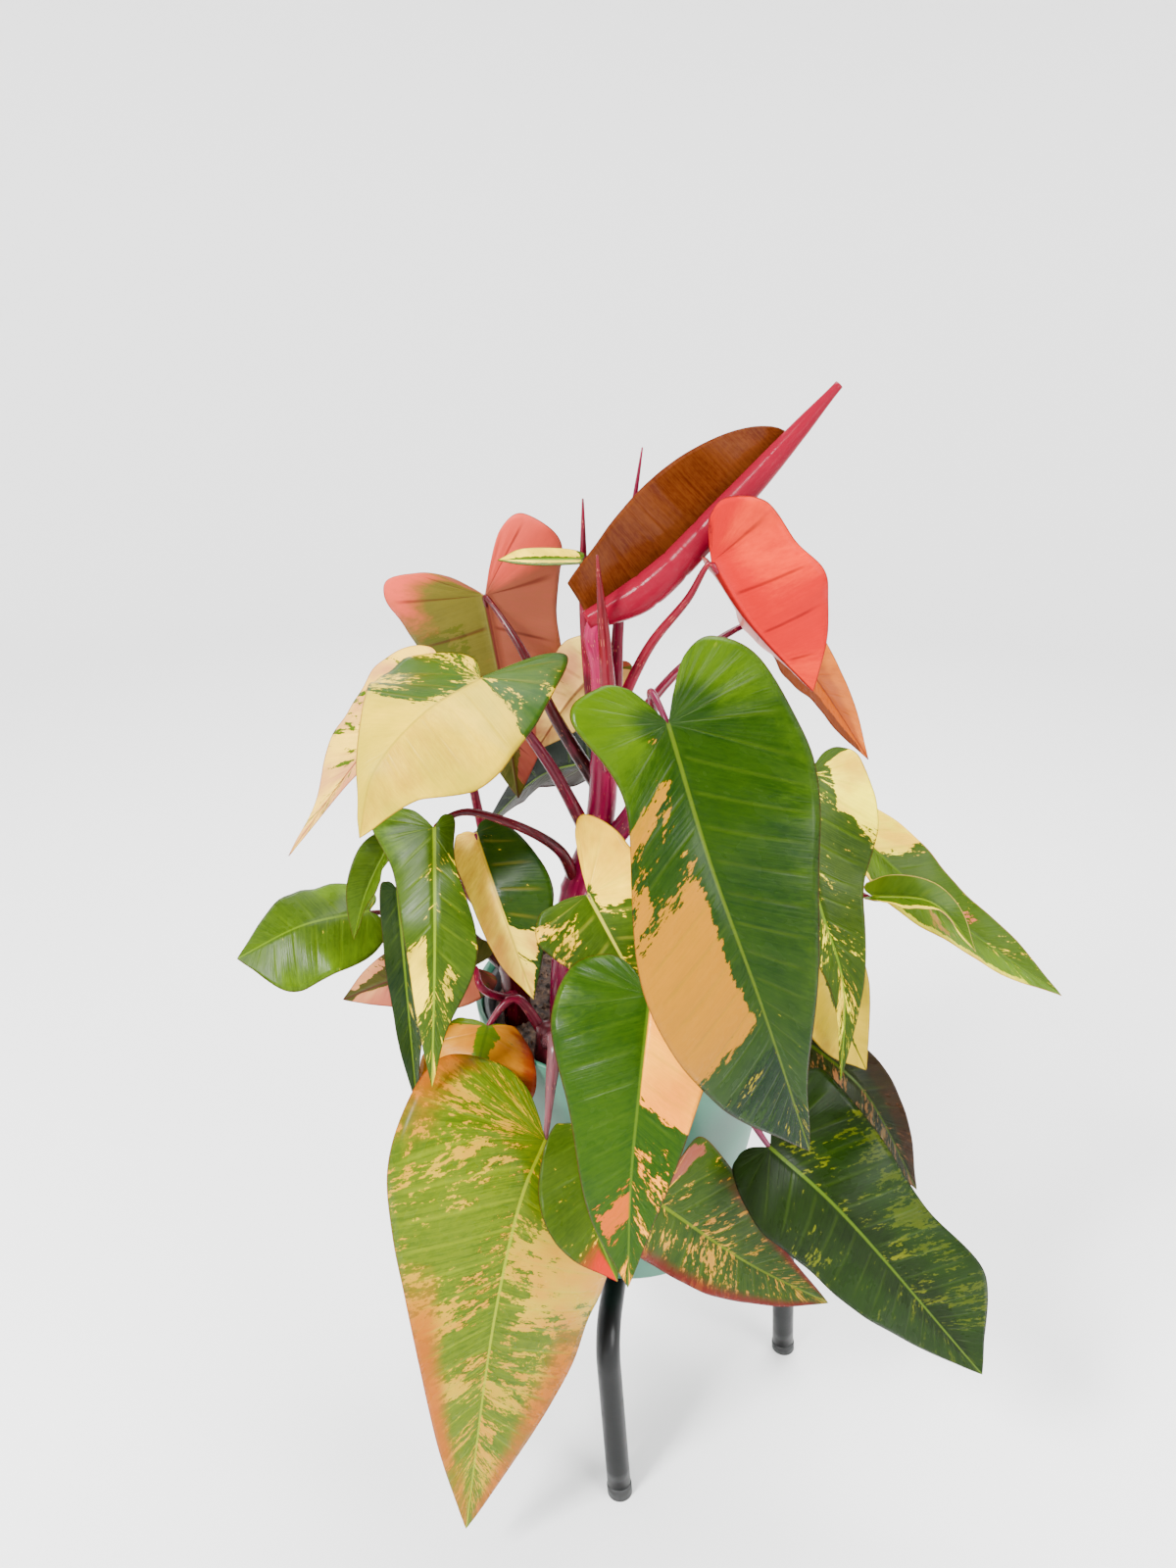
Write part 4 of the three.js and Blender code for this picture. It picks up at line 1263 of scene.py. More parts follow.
def plant_leaves() -> dict[str, Leaf]:
    """Describes every open leaf, as measured on the reference.

    Returns:
        The leaves by the names of their nodes.
    """
    leaves = [
        Leaf(
            "leaf_coral", (41, -22, 625), (106, -12, 545), (0.1, 0.95, 0.1), (30, 46, 46, 50, 32),
            (4, 10, 18, 22, 14),
            LeafSkin("leaf_coral_top", green="#371305", light="#5f1d05", blush="#5f2305", seed=1),
            LeafSkin(
                "leaf_coral_underside", green="#a50505", light="#bb0505", blush="#e03b05", pale="#9b413a",
                cream="#ab5548", warm="#75050a", dark="#570505", vein="#450505", margin="#4d0505",
                roughness=0.38, mottle=0.3, ribs=0.55, spacing=24, seed=1.5,
            ),
            bends=((63, -20, 592),), lift=-16, fold=(5, 60), curl=(10, 20), wave=(3, 1.5, 0.1),
            sectors=(
                Sector(BLUSH, LEFT, 0.3, 0.62, 0.3, 1.0, 0.5), Sector(PALE, RIGHT, 0.3, 0.95, 0.0, 1.0, 0.9),
                Sector(WARM, LEFT, 0.0, 0.2, 0.0, 1.0, 0.5), Sector(BLUSH, LEFT, 0.8, 1.0, 0.0, 1.0, 0.4),
            ),
        ),
        Leaf(
            "leaf_copper", (86, 46, 572), (155, 34, 482), (0.5, -0.7, 0.5), (14, 22, 24, 22, 12),
            (14, 22, 22, 18, 10),
            LeafSkin(
                "leaf_copper_top", green="#8d3a03", light="#9f4c03", blush="#c76705", pale="#c06505",
                warm="#651605",
                dark="#522105", vein="#520f05", ribs=0.2, seed=2,
            ),
            UNDER, bends=((120, 44, 532),), fold=(12, 20),
            sectors=(
                Sector(DARK, LEFT, 0.2, 0.9, 0.55, 1.0, 0.9),
                Sector(BLUSH, RIGHT, 0.4, 0.9, 0.5, 1.0, 0.6),
            ),
        ),
        Leaf(
            "leaf_olive", (-92, 40, 590), (-76, 66, 440), (0.05, 0.97, 0.2), (48, 56, 42, 40, 20),
            (16, 72, 60, 46, 20),
            LeafSkin("leaf_olive_top", green="#192d05", light="#384a05", seed=3),
            LeafSkin(
                "leaf_olive_underside", green="#4c450f", light="#5c5419", blush="#c94233", pale="#84382e",
                cream="#9e4b3b", warm="#80402e", dark="#404305", vein="#3b0505", margin="#5e0511",
                roughness=0.46, mottle=0.4, ribs=0.6, spacing=24, seed=3.5,
            ),
            bends=((-84, 50, 530),), fold=(6, 6), curl=(12, 16), wave=(4, 2, 0.3),
            sectors=(
                Sector(WARM, LEFT, 0.0, 0.8, 0.0, 1.0), Sector(BLUSH, LEFT, 0.0, 0.38, 0.15, 1.0, 0.8),
                Sector(PALE, LEFT, 0.62, 0.9, 0.3, 1.0, 0.75), Sector(BLUSH, RIGHT, 0.2, 0.5, 0.7, 1.0, 0.8),
                Sector(WARM, RIGHT, 0.0, 0.2, 0.0, 1.0, 0.6), Sector(DARK, RIGHT, 0.5, 1.0, 0.2, 1.0, 0.6),
            ),
        ),
        Leaf(
            "leaf_sliver", (-32, -2, 622), (-80, -4, 622), (0, -0.5, 0.85), (2, 5, 7, 8, 7), (2, 5, 6, 7, 5),
            LeafSkin("leaf_sliver_top", green="#263905", light="#496005", seed=4), UNDER, wave=(0, 1, 0),
            sectors=(
                Sector(PALE, LEFT, 0.4, 1.0, 0.2, 1.0, 0.62), Sector(PALE, RIGHT, 0.4, 1.0, 0.0, 0.6, 0.8),
            ),
        ),
        Leaf(
            "leaf_yellow", (-89, -40, 563), (-151, -108, 495), (-0.1, -0.2, 0.96),
            (20, 70, 66, 38, 9), (52, 38, 50, 54, 28),
            LeafSkin(
                "leaf_yellow_top", green="#193605", light="#3a5005", blush="#9d7105", pale="#b39a03",
                cream="#cfab03",
                warm="#cf7f05", dark="#172f05", vein="#967f05", margin="#520511", roughness=0.38, ribs=0.1,
                seed=5,
            ),
            UNDER, bends=((-118, -76, 554), (-142, -100, 530)), face_tip=(-0.1, -0.65, 0.6),
            fold=(-4, -8), curl=(-10, -20), wave=(3, 2, 0.4),
            sectors=(
                Sector(PALE, RIGHT, 0.5, 1.0, 0.0, 1.0, 1.1),
                Sector(PALE, RIGHT, 0.36, 0.46, 0.0, 0.3, 0.6),
                Sector(PALE, LEFT, 0.6, 1.0, 0.0, 1.0, 1.1),
                Sector(PALE, LEFT, 0.0, 0.6, 0.0, 1.0, 0.42),
                Sector(DARK, LEFT, 0.86, 1.0, 0.3, 1.0, 1.0),
                Sector(SPLASH, LEFT, 0.0, 0.62, 0.0, 1.0, 0.8),
                Sector(SPLASH, RIGHT, 0.36, 0.55, 0.2, 1.0, 0.6),
                Sector(BLUSH, RIGHT, 0.6, 1.0, 0.0, 0.8, 0.4),
            ),
        ),
        Leaf(
            "leaf_pink", (-121, 5, 551), (-201, -70, 465), (-0.6, -0.5, 0.6), (14, 34, 38, 30, 8),
            (10, 30, 28, 16, 6),
            LeafSkin(
                "leaf_pink_top", green="#364b05", light="#4d6305", blush="#9d483b", pale="#b5764f",
                cream="#e6ba3a",
                warm="#852f23", dark="#404805", vein="#671620", margin="#610520", ribs=0.2, seed=6,
            ),
            UNDER, bends=((-160, -30, 514),), fold=(8, 8), wave=(3, 2, 0.1),
            sectors=(
                Sector(PALE, LEFT, 0.0, 1.0, 0.0, 1.0, 0.62),
                Sector(PALE, RIGHT, 0.0, 1.0, 0.0, 1.0, 0.62),
                Sector(BLUSH, RIGHT, 0.4, 0.9, 0.3, 1.0, 0.4),
                Sector(SPLASH, LEFT, 0.0, 0.6, 0.0, 1.0, 0.6),
            ),
        ),
        Leaf(
            "leaf_pale", (-20, 26, 548), (-62, 40, 486), (0.2, 0.9, 0.1), (14, 22, 26, 24, 12),
            (12, 24, 28, 24, 12),
            LeafSkin("leaf_pale_top", seed=7),
            LeafSkin(
                "leaf_pale_underside", green="#3f3f0e", light="#54451c", blush="#845037", pale="#a97146",
                cream="#d9b754", warm="#722f1f", vein="#4d0c13", roughness=0.48, ribs=0.3, seed=7.5,
            ),
            bends=((-40, 36, 522),),
            sectors=(
                Sector(PALE, LEFT, 0.3, 1.0, 0.0, 1.0, 0.9), Sector(PALE, RIGHT, 0.3, 1.0, 0.0, 1.0, 0.7),
                Sector(WARM, LEFT, 0.0, 0.3, 0.0, 1.0, 0.7),
            ),
        ),
        Leaf(
            "leaf_back", (-22, 52, 474), (-104, 96, 402), (-0.3, -0.3, 0.9), (18, 28, 32, 26, 14),
            (18, 28, 32, 26, 14),
            # Near-black greens are painted shade: this one dark leaf stands for the leaves in shadow at the
            # back of the plant.
            LeafSkin("leaf_back_top_painted_shade", green="#050505", light="#071b05", blush="#221305", seed=8),
            UNDER, bends=((-60, 78, 452),), sectors=(Sector(BLUSH, RIGHT, 0.3, 0.8, 0.2, 1.0, 0.6),),
        ),
        Leaf(
            "leaf_drooping", (-117, -62, 479), (-119, -118, 338), (0, -0.95, 0.4), (14, 42, 26, 17, 9),
            (8, 13, 12, 24, 8),
            LeafSkin("leaf_drooping_top", green="#223605", light="#405605", vein="#748905", seed=9),
            UNDER, bends=((-114, -108, 426),), fold=(-6, 4), curl=(-20, -10), wave=(2, 3, 0.2),
            sectors=(
                Sector(PALE, LEFT, 0.62, 0.74, 0.25, 1.0, 0.78),
                Sector(PALE, RIGHT, 0.64, 0.72, 0.3, 0.8, 0.6),
                Sector(PALE, RIGHT, 0.88, 1.0, 0.0, 1.0, 0.8), Sector(SPLASH, LEFT, 0.0, 0.7, 0.0, 1.0, 0.3),
                Sector(SPLASH, LEFT, 0.7, 1.0, 0.0, 1.0, 0.55),
                Sector(SPLASH, RIGHT, 0.5, 0.9, 0.0, 1.0, 0.4),
                Sector(BLUSH, LEFT, 0.2, 0.5, 0.6, 1.0, 0.4),
            ),
        ),
        Leaf(
            "leaf_narrow", (-140, -66, 440), (-134, -86, 296), (-0.4, -0.9, 0.2), (6, 11, 12, 11, 7),
            (6, 11, 12, 11, 7),
            LeafSkin("leaf_narrow_top", green="#0b2105", light="#273605", seed=10),
            UNDER, fold=(16, 16), wave=(2, 3, 0.2), sectors=(Sector(SPLASH, RIGHT, 0.6, 1.0, 0.0, 1.0, 0.5),),
        ),
        Leaf(
            "leaf_small", (-150, -26, 452), (-172, -52, 398), (-0.5, -0.8, 0.3), (6, 10, 15, 14, 8),
            (6, 10, 15, 12, 7),
            LeafSkin("leaf_small_top", green="#2c4105", light="#496005", seed=11),
            UNDER, bends=((-164, -40, 425),), fold=(30, 30),
        ),
        Leaf(
            "leaf_far_left", (-168, -20, 400), (-246, -50, 383), (-0.15, -0.5, 0.85),
            (8, 22, 31, 36, 20), (8, 24, 33, 38, 36),
            LeafSkin("leaf_far_left_top", green="#263905", light="#435a05", seed=12),
            UNDER, bends=((-206, -38, 400),), fold=(-8, -8), curl=(-12, -12), wave=(3, 1.5, 0.2),
            sectors=(
                Sector(BLUSH, RIGHT, 0.3, 0.8, 0.6, 1.0, 0.4), Sector(BLUSH, LEFT, 0.2, 0.6, 0.5, 1.0, 0.5),
                Sector(SPLASH, LEFT, 0.1, 0.4, 0.0, 1.0, 0.45),
                Sector(SPLASH, RIGHT, 0.2, 1.0, 0.0, 1.0, 0.2),
            ),
        ),
        Leaf(
            "leaf_grey", (-100, -48, 376), (-180, -62, 361), (0, 0.8, -0.4), (14, 20, 24, 22, 12),
            (14, 18, 20, 20, 12),
            LeafSkin("leaf_grey_top", green="#192d05", light="#304205", seed=13),
            LeafSkin(
                "leaf_grey_underside", green="#2b2e05", light="#413a15", blush="#764130", pale="#974d37",
                cream="#b37749", warm="#59251c", vein="#420e17", margin="#52111f", roughness=0.46,
                ribs=0.3, seed=13.5,
            ),
            bends=((-140, -58, 376),), fold=(-10, -10), wave=(3, 2, 0.4),
            sectors=(
                Sector(PALE, LEFT, 0.4, 0.9, 0.2, 1.0, 0.9), Sector(PALE, RIGHT, 0.4, 0.9, 0.5, 1.0, 0.6),
                Sector(WARM, LEFT, 0.0, 0.4, 0.0, 1.0, 0.6),
            ),
        ),
        Leaf(
            "leaf_cream_fold", (-96, -36, 463), (-60, -90, 380), (0.1, -0.9, 0.4), (4, 14, 18, 16, 13),
            (6, 15, 26, 33, 16),
            LeafSkin(
                "leaf_cream_fold_top", green="#0d2705", light="#2c4105", blush="#9d5a1d", pale="#cd922e",
                cream="#f7d736",
                warm="#dd9a08", vein="#ad9122", ribs=0.1, seed=14,
            ),
            UNDER, bends=((-80, -70, 434),), fold=(-20, 8), wave=(2, 2, 0.2),
            sectors=(
                Sector(PALE, LEFT, 0.0, 1.0, 0.0, 1.0, 1.2), Sector(BLUSH, LEFT, 0.2, 0.6, 0.0, 1.0, 0.5),
                Sector(PALE, RIGHT, 0.7, 1.0, 0.0, 0.9, 0.62), Sector(PALE, RIGHT, 0.8, 1.0, 0.0, 0.4, 0.9),
                Sector(SPLASH, RIGHT, 0.4, 0.8, 0.0, 1.0, 0.3),
            ),
        ),
        Leaf(
            "leaf_centre", (-28, -78, 444), (23, -112, 361), (-0.1, -0.75, 0.65), (4, 34, 38, 22, 10),
            (42, 36, 36, 22, 8),
            LeafSkin(
                "leaf_centre_top", green="#213405", light="#3f5405", pale="#d49c05", cream="#f7cd05",
                warm="#99051f",
                vein="#b2aa35", seed=15,
            ),
            UNDER, bends=((-6, -100, 410),), fold=(4, 4), curl=(-10, -10), wave=(3, 2, 0.1),
            sectors=(
                Sector(PALE, RIGHT, 0.0, 0.52, 0.1, 1.0), Sector(SPLASH, LEFT, 0.0, 1.0, 0.3, 1.0, 0.5),
                Sector(PALE, LEFT, 0.42, 0.5, 0.7, 1.0, 0.6), Sector(SPLASH, RIGHT, 0.5, 1.0, 0.0, 1.0, 0.55),
                Sector(PALE, RIGHT, 0.8, 1.0, 0.0, 0.8, 0.7), Sector(PALE, LEFT, 0.68, 0.76, 0.3, 1.0, 0.6),
            ),
        ),
        Leaf(
            "leaf_front", (11, -140, 573), (92, -172, 338), (0.1, -0.92, 0.45), (25, 50, 32, 52, 38),
            (38, 61, 65, 41, 13),
            LeafSkin(
                "leaf_front_top", green="#0e2503", light="#243903", blush="#3c5404", pale="#847305",
                cream="#9d9405",
                warm="#935f02", dark="#031a03", vein="#45550e", margin="#380505", roughness=0.27, seed=16,
            ),
            UNDER, bends=((30, -178, 517), (56, -192, 448)), face_tip=(0.1, -1, -0.1),
            fold=(12, 0), curl=(-14, -10), wave=(2, 2, 0.2),
            sectors=(
                Sector(WARM, LEFT, 0.6, 0.715, 0.18, 1.0, 1.15),
                Sector(WARM, LEFT, 0.48, 0.58, 0.15, 1.0, 0.46),
                Sector(WARM, LEFT, 0.42, 0.54, 0.1, 0.5, 0.5),
                Sector(WARM, LEFT, 0.55, 0.61, 0.75, 1.0, 0.8),
                Sector(BLUSH, LEFT, 0.1, 0.5, 0.35, 1.0, 0.8),
                Sector(BLUSH, RIGHT, 0.05, 0.42, 0.45, 1.0, 0.65),
                Sector(BLUSH, RIGHT, 0.42, 0.7, 0.75, 1.0, 0.3),
                Sector(SPLASH, LEFT, 0.72, 1.0, 0.0, 1.0, 0.5),
                Sector(SPLASH, RIGHT, 0.78, 1.0, 0.0, 1.0, 0.4),
                Sector(WARM, LEFT, 0.74, 0.92, 0.0, 0.9, 0.2),
                Sector(SPLASH, RIGHT, 0.1, 0.3, 0.8, 1.0, 0.4),
                Sector(DARK, RIGHT, 0.45, 0.62, 0.1, 0.6, 0.3),
                Sector(DARK, LEFT, 0.74, 1.0, 0.0, 1.0, 0.62),
                Sector(DARK, RIGHT, 0.8, 1.0, 0.0, 1.0, 0.5),
            ),
        ),
        Leaf(
            "leaf_right", (106, -20, 495), (129, -80, 313), (0.3, -0.92, 0.3), (8, 24, 24, 18, 6),
            (16, 36, 42, 26, 10),
            LeafSkin(
                "leaf_right_top", green="#1e3205", light="#3c4f05", pale="#d1a605", cream="#f7e405",
                vein="#5e7a05",
                margin="#421005", seed=17,
            ),
            UNDER, bends=((109, -52, 435), (127, -70, 377)), fold=(-4, 6), wave=(3, 3, 0.3),
            sectors=(
                Sector(PALE, RIGHT, 0.3, 0.52, 0.4, 1.0), Sector(SPLASH, LEFT, 0.1, 1.0, 0.0, 1.0, 0.68),
                Sector(SPLASH, RIGHT, 0.36, 1.0, 0.0, 1.0, 0.56),
                Sector(PALE, LEFT, 0.36, 0.5, 0.2, 0.9, 0.45),
                Sector(PALE, RIGHT, 0.68, 0.76, 0.2, 0.8, 0.5),
            ),
        ),
        Leaf(
            "leaf_right_yellow", (112, -30, 392), (150, -60, 306), (0.1, -0.85, 0.45),
            (14, 24, 30, 28, 18), (12, 20, 26, 24, 12),
            LeafSkin(
                "leaf_right_yellow_top", green="#243805", light="#3c4f05", blush="#7c5905", pale="#9a8404",
                cream="#b89a08",
                dark="#172f05", vein="#283705", ribs=0.08, seed=18,
            ),
            UNDER, bends=((126, -54, 356),), fold=(8, 8),
            sectors=(
                Sector(PALE, LEFT, 0.0, 1.0, 0.06, 1.0, 1.1), Sector(PALE, RIGHT, 0.0, 1.0, 0.12, 1.0, 0.9),
                Sector(DARK, RIGHT, 0.7, 0.8, 0.3, 1.0, 0.7), Sector(BLUSH, LEFT, 0.3, 0.8, 0.6, 1.0, 0.5),
            ),
        ),
        Leaf(
            "leaf_right_long", (140, 4, 448), (284, -22, 337), (0.35, -0.55, 0.75),
            (18, 26, 28, 24, 14), (14, 22, 26, 22, 14),
            LeafSkin(
                "leaf_right_long_top", green="#2c4105", light="#3f5405", blush="#516e05", pale="#efbb05",
                cream="#f7e605",
                warm="#ad5335", vein="#4a640d", margin="#b76d31", seed=19,
            ),
            UNDER, bends=((200, -18, 398),), fold=(6, 10), wave=(3, 2, 0.2),
            sectors=(
                Sector(PALE, RIGHT, 0.1, 0.54, 0.0, 1.0, 1.1), Sector(PALE, LEFT, 0.4, 0.8, 0.84, 1.0, 0.9),
                Sector(WARM, LEFT, 0.62, 0.66, 0.3, 0.8, 0.8), Sector(WARM, RIGHT, 0.66, 0.72, 0.2, 0.7, 0.7),
                Sector(BLUSH, LEFT, 0.5, 1.0, 0.2, 1.0, 0.5), Sector(SPLASH, RIGHT, 0.6, 1.0, 0.0, 1.0, 0.5),
                Sector(SPLASH, LEFT, 0.75, 1.0, 0.0, 1.0, 0.4),
            ),
        ),
        Leaf(
            "leaf_right_curled", (148, -39, 421), (213, -48, 387), (0.1, -0.4, 0.9), (6, 10, 16, 14, 8),
            (6, 10, 14, 12, 7),
            LeafSkin(
                "leaf_right_curled_top", green="#304805", light="#496005", blush="#4a5d05", pale="#e0c914",
                vein="#738705", margin="#af8e43", seed=20,
            ),
            UNDER, bends=((182, -45, 420),), fold=(30, 30),
            sectors=(
                Sector(PALE, LEFT, 0.4, 0.9, 0.7, 1.0, 0.7), Sector(BLUSH, RIGHT, 0.0, 0.5, 0.0, 1.0, 0.8),
            ),
        ),
        Leaf(
            "leaf_low_right", (81, -118, 294), (212, -164, 159), (-0.1, -0.75, 0.65),
            (11, 30, 41, 37, 23), (14, 64, 52, 40, 41),
            LeafSkin(
                "leaf_low_right_top", green="#0a1502", light="#162803", blush="#162c03", pale="#4b5005",
                cream="#585c05",
                dark="#050a02", vein="#455b0f", margin="#120505", roughness=0.34, ribs=0.1, seed=21,
            ),
            UNDER, bends=((115, -144, 275),), face_tip=(0, -0.9, 0.3), fold=(-6, -6), curl=(-12, -12),
            wave=(3, 2, 0.1),
            sectors=(
                Sector(SPLASH, RIGHT, 0.44, 1.0, 0.0, 1.0, 0.68),
                Sector(SPLASH, LEFT, 0.52, 1.0, 0.0, 1.0, 0.58),
                Sector(BLUSH, RIGHT, 0.5, 1.0, 0.3, 1.0, 0.5),
                Sector(BLUSH, LEFT, 0.6, 1.0, 0.3, 1.0, 0.5),
            ),
        ),
        Leaf(
            "leaf_behind_right", (114, -36, 312), (194, -58, 206), (0.3, -0.75, 0.6),
            (4, 18, 24, 20, 12), (4, 14, 20, 20, 12),
            LeafSkin(
                "leaf_behind_right_top", green="#060e05", light="#222705", blush="#2c1205", pale="#544020",
                cream="#6c4423", vein="#2f4006", seed=22,
            ),
            UNDER, bends=((150, -52, 286),), fold=(6, 6),
            sectors=(
                Sector(SPLASH, LEFT, 0.3, 1.0, 0.0, 1.0, 0.75),
                Sector(SPLASH, RIGHT, 0.4, 1.0, 0.0, 1.0, 0.6),
                Sector(BLUSH, RIGHT, 0.5, 1.0, 0.4, 1.0, 0.6),
            ),
        ),
        Leaf(
            "leaf_low_centre", (12, -131, 265), (132, -97, 145), (0, -0.87, 0.45), (4, 24, 34, 30, 18),
            (6, 50, 44, 30, 14),
            LeafSkin(
                "leaf_low_centre_top", green="#1b3305", light="#3a4b05", blush="#570508", pale="#ae7622",
                cream="#cb940f",
                warm="#804132", vein="#5e6f05", margin="#510505", seed=23,
            ),
            UNDER, bends=((75, -112, 195),), fold=(4, 4), curl=(-10, -10), wave=(2, 2, 0.3),
            sectors=(
                Sector(WARM, RIGHT, 0.22, 0.44, 0.3, 0.9, 1.05),
                Sector(WARM, LEFT, 0.3, 0.44, 0.0, 1.0, 0.55),
                Sector(SPLASH, LEFT, 0.3, 1.0, 0.0, 1.0, 0.6),
                Sector(SPLASH, RIGHT, 0.3, 1.0, 0.0, 1.0, 0.55),
                Sector(BLUSH, LEFT, 0.45, 0.9, 0.8, 1.0, 0.95),
                Sector(BLUSH, RIGHT, 0.55, 0.9, 0.84, 1.0, 0.95),
                Sector(PALE, RIGHT, 0.4, 0.46, 0.0, 0.5, 0.7),
            ),
        ),
        Leaf(
            "leaf_front_centre", (6, -130, 410), (-6, -194, 262), (0, -0.92, 0.4), (20, 50, 52, 34, 21),
            (3, 20, 36, 28, 13),
            LeafSkin(
                "leaf_front_centre_top", green="#173205", light="#314905", blush="#516e05", pale="#e28105",
                cream="#f7a005",
                warm="#a74a05", dark="#122a05", vein="#455b0f", margin="#420509", roughness=0.27, seed=24,
            ),
            UNDER, bends=((0, -162, 376), (-5, -184, 330)), face_tip=(0, -1, -0.1),
            fold=(-6, 6), curl=(-10, -10), wave=(2, 2, 0.1),
            sectors=(
                Sector(PALE, RIGHT, 0.3, 0.62, 0.0, 1.0, 1.15), Sector(PALE, RIGHT, 0.0, 0.3, 0.0, 1.0, 0.5),
                Sector(WARM, LEFT, 0.74, 0.82, 0.0, 0.9, 0.85),
                Sector(SPLASH, LEFT, 0.86, 1.0, 0.0, 1.0, 0.75),
                Sector(SPLASH, RIGHT, 0.62, 1.0, 0.0, 1.0, 0.6), Sector(PALE, RIGHT, 0.9, 1.0, 0.0, 1.0, 0.6),
                Sector(BLUSH, LEFT, 0.2, 0.5, 0.8, 1.0, 0.3),
            ),
        ),
        Leaf(
            "leaf_under_left", (-33, -128, 319), (-11, -172, 243), (-0.1, -0.95, 0.3), (2, 16, 22, 27, 19),
            (4, 20, 24, 22, 10),
            LeafSkin(
                "leaf_under_left_top", green="#263905", light="#3e5105", blush="#a91005", pale="#a98b05",
                seed=25,
            ),
            UNDER, bends=((-28, -158, 287),), fold=(6, 6), wave=(2, 2, 0.1),
            sectors=(
                Sector(BLUSH, LEFT, 0.8, 1.0, 0.2, 1.0, 0.9), Sector(SPLASH, LEFT, 0.2, 0.8, 0.0, 1.0, 0.45),
            ),
        ),
        Leaf(
            "leaf_low_left", (-53, -126, 306), (-106, -178, 38), (0.25, -0.8, 0.5), (28, 84, 79, 46, 24),
            (10, 30, 69, 76, 37),
            LeafSkin(
                "leaf_low_left_top", green="#364b05", light="#556305", blush="#914605", pale="#b17a05",
                cream="#ad8e05",
                warm="#9c5405", dark="#2c4105", vein="#858e05", margin="#782805", roughness=0.3, mottle=0.8,
                ribs=0.2, seed=26,
            ),
            UNDER, bends=((-65, -148, 288), (-81, -168, 222)), face_tip=(0.15, -0.96, 0.1),
            fold=(-4, -10), curl=(-18, -20), wave=(4, 2, 0.2),
            sectors=(
                Sector(BLUSH, LEFT, 0.3, 0.46, 0.82, 1.0, 0.8),
                Sector(BLUSH, LEFT, 0.6, 0.8, 0.74, 1.0, 0.9),
                Sector(BLUSH, LEFT, 0.8, 1.0, 0.5, 1.0, 0.5),
                Sector(BLUSH, RIGHT, 0.64, 0.95, 0.66, 1.0, 0.7),
                Sector(PALE, RIGHT, 0.44, 0.68, 0.1, 1.0, 0.55),
                Sector(PALE, RIGHT, 0.54, 0.64, 0.6, 1.0, 0.8),
                Sector(PALE, RIGHT, 0.7, 1.0, 0.0, 1.0, 0.36),
                Sector(PALE, RIGHT, 0.76, 0.8, 0.0, 0.4, 0.9),
                Sector(PALE, LEFT, 0.84, 0.95, 0.0, 0.8, 0.4),
                Sector(PALE, LEFT, 0.35, 0.84, 0.1, 0.9, 0.24),
                Sector(SPLASH, LEFT, 0.1, 1.0, 0.0, 1.0, 0.66),
                Sector(SPLASH, RIGHT, 0.2, 1.0, 0.0, 1.0, 0.74),
                Sector(DARK, RIGHT, 0.0, 0.4, 0.0, 1.0, 0.6),
                Sector(DARK, LEFT, 0.45, 0.75, 0.0, 0.6, 0.45),
                Sector(WARM, LEFT, 0.3, 0.44, 0.6, 1.0, 0.4),
            ),
        ),
        Leaf(
            "leaf_orange", (-90, -68, 346), (-99, -96, 262), (-0.1, -0.8, 0.6), (3, 24, 36, 38, 20),
            (3, 20, 32, 36, 20),
            LeafSkin(
                "leaf_orange_top", green="#3c5505", light="#566105", blush="#640505", pale="#a35f05",
                cream="#bd7b05",
                warm="#972605", dark="#230505", vein="#36470b", margin="#570505", seed=27,
            ),
            UNDER, bends=((-95, -90, 330),), fold=(-6, -6), curl=(-10, -10),
            sectors=(
                Sector(PALE, LEFT, 0.42, 0.9, 0.12, 1.0, 0.9), Sector(PALE, RIGHT, 0.2, 0.9, 0.12, 1.0, 0.72),
                Sector(BLUSH, RIGHT, 0.4, 1.0, 0.7, 1.0, 0.9), Sector(DARK, RIGHT, 0.2, 0.32, 0.8, 1.0, 0.7),
            ),
        ),
    ]
    return {leaf.name: leaf for leaf in leaves}


def unfurling_leaf() -> RolledLeaf:
    """Describes the leaf at the top that is still opening, glossy as new leaves are.

    Returns:
        The leaf, with its copper upper side and its pink outside.
    """
    top = LeafSkin(
        "leaf_unfurling_top", green="#431705", light="#6a3714", blush="#613705", pale="#983e1d",
        warm="#480a38", dark="#300505", vein="#510505", margin="#450505", roughness=0.14, ribs=0.08,
        seed=30, mottle=0.42, spacing=70,
    )
    outside = LeafSkin(
        "leaf_unfurling_outside", green="#6c0a1e", light="#84122c", blush="#7c0e28", pale="#b43e51",
        warm="#700a1f", dark="#4d0505", vein="#800526", margin="#450505", roughness=0.2, mottle=0.3,
        seed=31, spacing=70, ribs=0.1,
    )
    return RolledLeaf("leaf_unfurling", top, outside)


